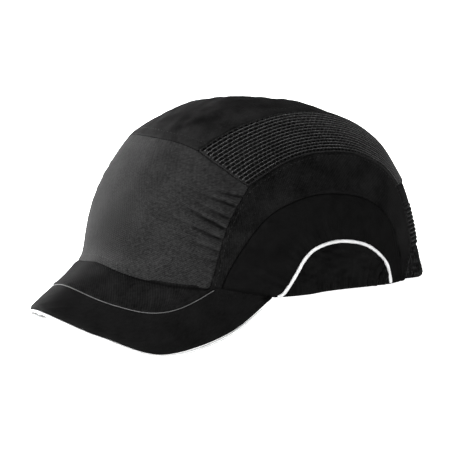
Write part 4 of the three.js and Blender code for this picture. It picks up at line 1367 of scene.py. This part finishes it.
top_pad = slab("crown_pad_foam", top_point, (48, 80), -PAD_OUT, -PAD_IN, FOAM, PAD_EDGE, 0.35)
belongs(top_pad, "foam", "crown_pad")


def sweatband_point(u, v, depth):
    degrees = 60 * (2 * u - 1)
    start = on_crown(heading(degrees, 4.5 + 6 * np.cos(np.radians(degrees * 1.5)) ** 2))
    start = start + np.stack([0 * u, 0 * u, 0.6 + SWEATBAND_HEIGHT * v], -1)
    return crown_point(start, SWEATBAND_FOOT - SWEATBAND_STEP * eased(v / 0.32) - depth)


def sweatband_tuck(x, y):
    return 0.18 * wander(x, 9, 81) * np.clip(1 - y / 8, 0, 1)


sweatband = slab(
    "sweatband_towelling", sweatband_point, (182, 28), 0.0, SWEATBAND_THICK, TOWELLING, 1.1,
    relief=sweatband_tuck, coarse=1.3,
)
belongs(sweatband, "towelling", "sweatband")
sweat_u = np.linspace(0.02, 0.98, 170)
ones = np.ones(sweat_u.shape)
sweat_points = sweatband_point(sweat_u, 0.9 * ones, SWEATBAND_THICK * ones)
sweat_row = (sweat_points, -crown_normal(on_crown(sweat_points)))
sweat_stitches = stitches("sweatband_stitches", [sweat_row], GREY_THREAD)
belongs(sweat_stitches, "towelling", body=BODY["sweatband"])


def label_point(u, v, depth):
    return crown_point(heading(118 + 14 * u, 10 + 20 * v), -depth)


def label_curl(x, y):
    return -0.2 * np.sin(x / 4.0)


label = slab(
    "care_label_cloth", label_point, (21, 20), 2.6, 3.1, LABEL_CLOTH, 0.25, 0.04, label_curl, 1.0,
)
belongs(label, "label_cloth", "care_label")

hem_line = line(HEM_EAR)


def gathered(x, y):
    return 0.22 * wander(x, 3.4, 91)


for side, sign in (("left", 1), ("right", -1)):
    def elastic_point(u, v, depth):
        low = hem_line(0.14 + 0.72 * u)
        p = crown_point(low + np.stack([0 * v, 0 * v, 1.2 + ELASTIC_SIZE[1] * v], -1), -depth)
        return p * np.array([sign, 1, 1])

    elastic = slab(
        f"ear_elastic_band_{side}", elastic_point, ELASTIC_SIZE, -ELASTIC_OUT, -ELASTIC_IN,
        ELASTIC, 0.5, relief=gathered, coarse=0.7,
    )
    belongs(elastic, "webbing", f"ear_elastic_{side}")

# ---- the peak ----------------------------------------------------------------------------------
BOARD_HALF, PEAK_GAP, PEAK_CLOTH = 0.8, 0.5, 1.0
PEAK_ROOT, PEAK_TUCK = -0.02, 1.2  # a share of the depth, and at least this far in millimetres
PEAK_END, INNER_END = 0.997, 0.705
INNER_ZONE_DEPTH, INNER_ZONE_END = 0.53, 0.71
EDGE_RADIUS, EDGE_OUT, EDGE_DROP, EDGE_END = 0.85, 1.45, -0.2, 0.955
COVER_LOW = BOARD_HALF + PEAK_GAP
COVER_TOP = COVER_LOW + PEAK_CLOTH

TEMPLE = [83.5, -38, 0]
peak_root_line = line(both_sides(HEM_FRONT + [[75, -60, 2.8], [80, -49, 1.2], TEMPLE]))
peak_edge_line = line(both_sides([
    [0, -146, -14.6], [32, -135.3, -20.6], [42.5, -128, -23.6], [68.5, -102.8, -31.2],
    [77, -65.5, -21.2], TEMPLE,
]))


def peak_flat(s, v):
    v = np.asarray(v)[..., None]
    return peak_root_line((s + 1) / 2) * (1 - v) + peak_edge_line((s + 1) / 2) * v


def peak_frame(s, v):
    """Points on the peak's middle surface, with its upward normals."""
    s, v = np.broadcast_arrays(np.asarray(s, float), np.asarray(v, float))
    across = peak_flat(s + 0.01, v) - peak_flat(s - 0.01, v)
    forward = peak_flat(s, v + 0.01) - peak_flat(s, v - 0.01)
    return peak_flat(s, v), unit(np.cross(forward, across))


def inner_zone(s):
    share = np.clip(np.abs(s) / INNER_ZONE_END, 0, 1)
    return INNER_ZONE_DEPTH * (1 - share**4.1)


def pinch(s):
    """The peak's thickness as a share: it thins towards its pointed ends."""
    return np.clip((1 - np.abs(s)) / 0.07, 0.4, 1) ** 0.8


def turned_under(distance, radius, drop):
    """How far a cloth edge has rolled down, at a distance in from the edge."""
    d = np.clip(distance, 0, radius) / radius
    return drop * (1 - np.sqrt(1 - (1 - d) ** 2))


def peak_depth(s):
    """The peak's depth in millimetres from its inner line to its edge."""
    at_edge, at_root = peak_flat(s, np.ones(np.shape(s))), peak_flat(s, np.zeros(np.shape(s)))
    return np.linalg.norm(at_edge - at_root, axis=-1)


def peak_cover(name, half_span, start, stop, material, relief, below=False):
    """A cover of the peak between two lines, given as shares of its depth."""
    widest = math.pi / 2 * 0.985
    s = half_span * np.sin(np.linspace(-1, 1, 321) * widest) / math.sin(widest)
    t = stations(44, 0.4, 1.2, 3.2)
    s, t = np.meshgrid(s, t)
    low, high = start(s), stop(s)
    v = low + (high - low) * t
    middle, normal = peak_frame(s, v)
    depth = peak_depth(s)
    along = np.stack([travelled(row) for row in middle])
    to_low, to_high = (v - low) * depth, (high - v) * depth
    to_side = np.minimum(along, along[:, -1:] - along)
    height = relief(middle, along, to_low, to_high, to_side) * pinch(s)
    sign = -1 if below else 1
    outer = middle + normal * (sign * height)[..., None]
    inner = middle + normal * (sign * (height - PEAK_CLOTH * pinch(s)))[..., None]
    uv = np.stack([along, v * depth], -1) * MM
    # Painted shade near the root: the cover's sink below its top, taken 2.2 times over, darkens its
    # colour as a line under the front panel's hem.
    tucked = 2.2 * np.minimum(height - COVER_TOP, 0) * (to_low < 3.5)
    made = shell_between(name, outer, inner, material, uv, tucked)
    size = (float(along[:, -1].max()) * MM, float((to_low + to_high).max()) * MM)
    return tidy_mesh(made), size, area_of(middle)


def outer_relief(p, along, to_low, to_high, to_side):
    height = COVER_TOP - turned_under(to_high, 2.6, 1.75) - turned_under(to_low, 0.9, 0.75)
    height -= turned_under(to_side, 0.9, 0.6)
    height += 0.24 * wander(along, 9.5, 101) * fade(to_high - 2, 7) * np.clip(to_high / 3, 0, 1)
    return height + 0.25 * swell(p, 42, 102) * np.clip(np.minimum(to_low, to_high) / 6, 0, 1)


def inner_relief(p, along, to_low, to_high, to_side):
    height = COVER_TOP + 0.35 - turned_under(to_high, 1.0, 0.8) - turned_under(to_low, 0.9, 0.7)
    height += 0.35 * crease(to_high - 1.6, 1.1) - 0.9 * crease(to_low - 2.0, 1.6)
    height += 0.18 * wander(along, 13, 103) * fade(to_high, 5) * np.clip(to_high / 2, 0, 1)
    return height + 0.22 * swell(p, 36, 104) * np.clip(np.minimum(to_low, to_high) / 5, 0, 1)


def under_relief(p, along, to_low, to_high, to_side):
    height = COVER_TOP - turned_under(to_high, 1.6, 0.75) - turned_under(to_low, 0.9, 0.7)
    return height + 0.1 * wander(along, 12, 105) * fade(to_high - 2, 6) * np.clip(to_high / 3, 0, 1)


def root(s):
    """The covers' inner edge, tucked at least a little way under the hem."""
    return PEAK_ROOT - np.minimum(PEAK_TUCK / np.maximum(peak_depth(s), 0.1), 1.2)


def seam_of_zone(s):
    """The seam between the covers, and the root beyond the inner cover's ends."""
    past_end = np.clip((np.abs(s) - INNER_END) / 0.02, 0, 1)
    return inner_zone(s) + (root(s) + 0.001) * past_end


def rim(s):
    return np.ones(np.shape(s))


for part, slot, *shape in (
    ("outer", "black_cotton", PEAK_END, seam_of_zone, rim, PEAK_TWILL, outer_relief),
    ("inner", "band_cotton", INNER_END, root, inner_zone, BAND_TWILL, inner_relief),
    ("under", "black_cotton", PEAK_END, root, rim, PEAK_TWILL, under_relief),
):
    cover, size, area = peak_cover(f"peak_{part}_cloth", *shape, below=part == "under")
    belongs(cover, slot, f"peak_{part}_cover")

seam_s = np.sin(np.linspace(-1, 1, 401) * math.pi / 2) * INNER_END
seam_middle, seam_normal = peak_frame(seam_s, inner_zone(seam_s))
even = np.linspace(0, 1, 260)
seam_centres = resample(seam_middle + seam_normal * (COVER_TOP + 0.12), even)
seam_facing = resample(seam_normal, even)
seam_cord = rope("peak_seam_cord", seam_centres, seam_facing, GREY_THREAD, 0.24, 8)
belongs(seam_cord, "reflective_piping", body=BODY["peak_board"])

edge_s = np.linspace(-EDGE_END, EDGE_END, 500)
edge_middle, edge_normal = peak_frame(edge_s, np.ones(edge_s.shape))
edge_centre = edge_middle + edge_normal * EDGE_DROP
near, near_normal = peak_frame(edge_s, np.full(edge_s.shape, 0.9))
edge_centre = edge_centre + unit(edge_centre - near - near_normal * EDGE_DROP) * EDGE_OUT
evenly = np.linspace(0, 1, 300)
edge_radius = EDGE_RADIUS * np.interp(np.abs(2 * evenly - 1), [0.9, 1], [1, 0.3])
edge_cord = rope(
    "peak_edge_piping", resample(edge_centre, evenly), resample(edge_normal, evenly),
    REFLECTIVE, edge_radius, 14,
)
belongs(edge_cord, "reflective_piping", "peak_piping")

# ---- pieces kept as they are drawn in the CAD --------------------------------------------------
for name, material, bevel in (
    ("peak_board", BOARD_PLASTIC, 0.0003),
    ("buckle_body", BUCKLE_NYLON, 0.0004),
    ("buckle_lever", BUCKLE_NYLON, 0.00035),
    ("lever_pin", PIN_STEEL, 0.00015),
):
    kept = frame["nodes"][name]
    kept.data.materials.clear()
    kept.data.materials.append(material)
    soften = kept.modifiers.new("soft_edges", "BEVEL")
    soften.width = bevel
    soften.segments = 3
    soften.limit_method = "ANGLE"
    soften.angle_limit = math.radians(32)
    soften.harden_normals = True

# ---- floor, lights and camera ------------------------------------------------------------------
CAMERA_AT = (57.39, 6.60)  # azimuth and elevation in the wearing frame, in degrees
CAMERA_TARGET = np.array([0.0, -20.0, 50.0])
CAMERA_FAR, CAMERA_LENS = 1200.0, 154.8
CAMERA_ROLL, CAMERA_DOWN = math.radians(2.155), math.radians(0.882)

scene = bpy.context.scene
scene.view_settings.view_transform = "Standard"
scene.view_settings.look = "None"


def camera_matrix():
    azimuth, elevation = (math.radians(a) for a in CAMERA_AT)
    back = Vector((
        math.sin(azimuth) * math.cos(elevation),
        -math.cos(azimuth) * math.cos(elevation),
        math.sin(elevation),
    ))
    turn = (-back).to_track_quat("-Z", "Y").to_matrix()
    turn = turn @ Matrix.Rotation(CAMERA_ROLL, 3, "Z") @ Matrix.Rotation(-CAMERA_DOWN, 3, "X")
    turn = Matrix(TIP.tolist()) @ turn
    at = to_world(CAMERA_TARGET + np.array(back) * CAMERA_FAR)
    return Matrix.Translation(Vector(at)) @ turn.to_4x4()


camera = bpy.data.objects.new("camera", bpy.data.cameras.new("camera"))
camera.data.lens = CAMERA_LENS
camera.data.sensor_width = 36
camera.data.clip_start, camera.data.clip_end = 0.05, 50
camera.matrix_world = camera_matrix()
scene.collection.objects.link(camera)
scene.camera = camera
RIGHT, UP, BACK = (Vector(camera.matrix_world.col[k][:3]) for k in range(3))
CAP_MIDDLE = Vector((0, 0, 0.06))


def softbox(name, right, up, back, size, watts):
    """A square area light at a place seen from the camera, in metres, turned to the cap."""
    light = bpy.data.lights.new(name, "AREA")
    light.shape = "RECTANGLE"
    light.size, light.size_y = size
    light.energy = watts
    obj = bpy.data.objects.new(name, light)
    obj.location = CAP_MIDDLE + RIGHT * right + UP * up + BACK * back
    obj.rotation_mode = "QUATERNION"
    obj.rotation_quaternion = (CAP_MIDDLE - obj.location).to_track_quat("-Z", "Y")
    scene.collection.objects.link(obj)


softbox("key_softbox", -1.15, 0.2, 0.35, (0.6, 0.8), 40)
softbox("top_softbox", 0.1, 1.15, 0.35, (1.0, 0.8), 3)
softbox("rim_softbox", -1.0, 0.05, -0.8, (0.3, 0.7), 140)
softbox("fill_softbox", 0.05, 0.35, 1.2, (0.9, 0.9), 25)

world = bpy.data.worlds.new("studio")
world.use_nodes = True
scene.world = world
sky, sky_links = world.node_tree.nodes, world.node_tree.links
upward = sky.new("ShaderNodeSeparateXYZ")
sky_links.new(sky.new("ShaderNodeTexCoord").outputs["Generated"], upward.inputs[0])
sweep = sky.new("ShaderNodeMapRange")
sweep.interpolation_type = "SMOOTHSTEP"
for socket, value in (("From Min", 0.03), ("From Max", 0.4), ("To Min", 1.05), ("To Max", 0.15)):
    sweep.inputs[socket].default_value = value
sky_links.new(upward.outputs["Z"], sweep.inputs["Value"])
background = sky["Background"]
background.inputs["Color"].default_value = (1, 1, 1, 1)
sky_links.new(sweep.outputs["Result"], background.inputs["Strength"])

paper = bpy.data.materials.new("white_paper")
paper.use_nodes = True
paper_look = paper.node_tree.nodes["Principled BSDF"]
for socket, value in (
    ("Base Color", (0.8, 0.8, 0.8, 1)), ("Roughness", 1.0), ("Specular IOR Level", 0.0),
    ("Emission Color", (1, 1, 1, 1)), ("Emission Strength", 1.0),
):
    paper_look.inputs[socket].default_value = value
FLOOR_HALF, FLOOR_Z = 20.0, -0.0005
corner_signs = ((-1, -1), (1, -1), (1, 1), (-1, 1))
floor_corners = [(x * FLOOR_HALF, y * FLOOR_HALF, FLOOR_Z) for x, y in corner_signs]
floor = mesh_object("studio_floor", floor_corners, [(0, 1, 2, 3)], paper, smooth=False)
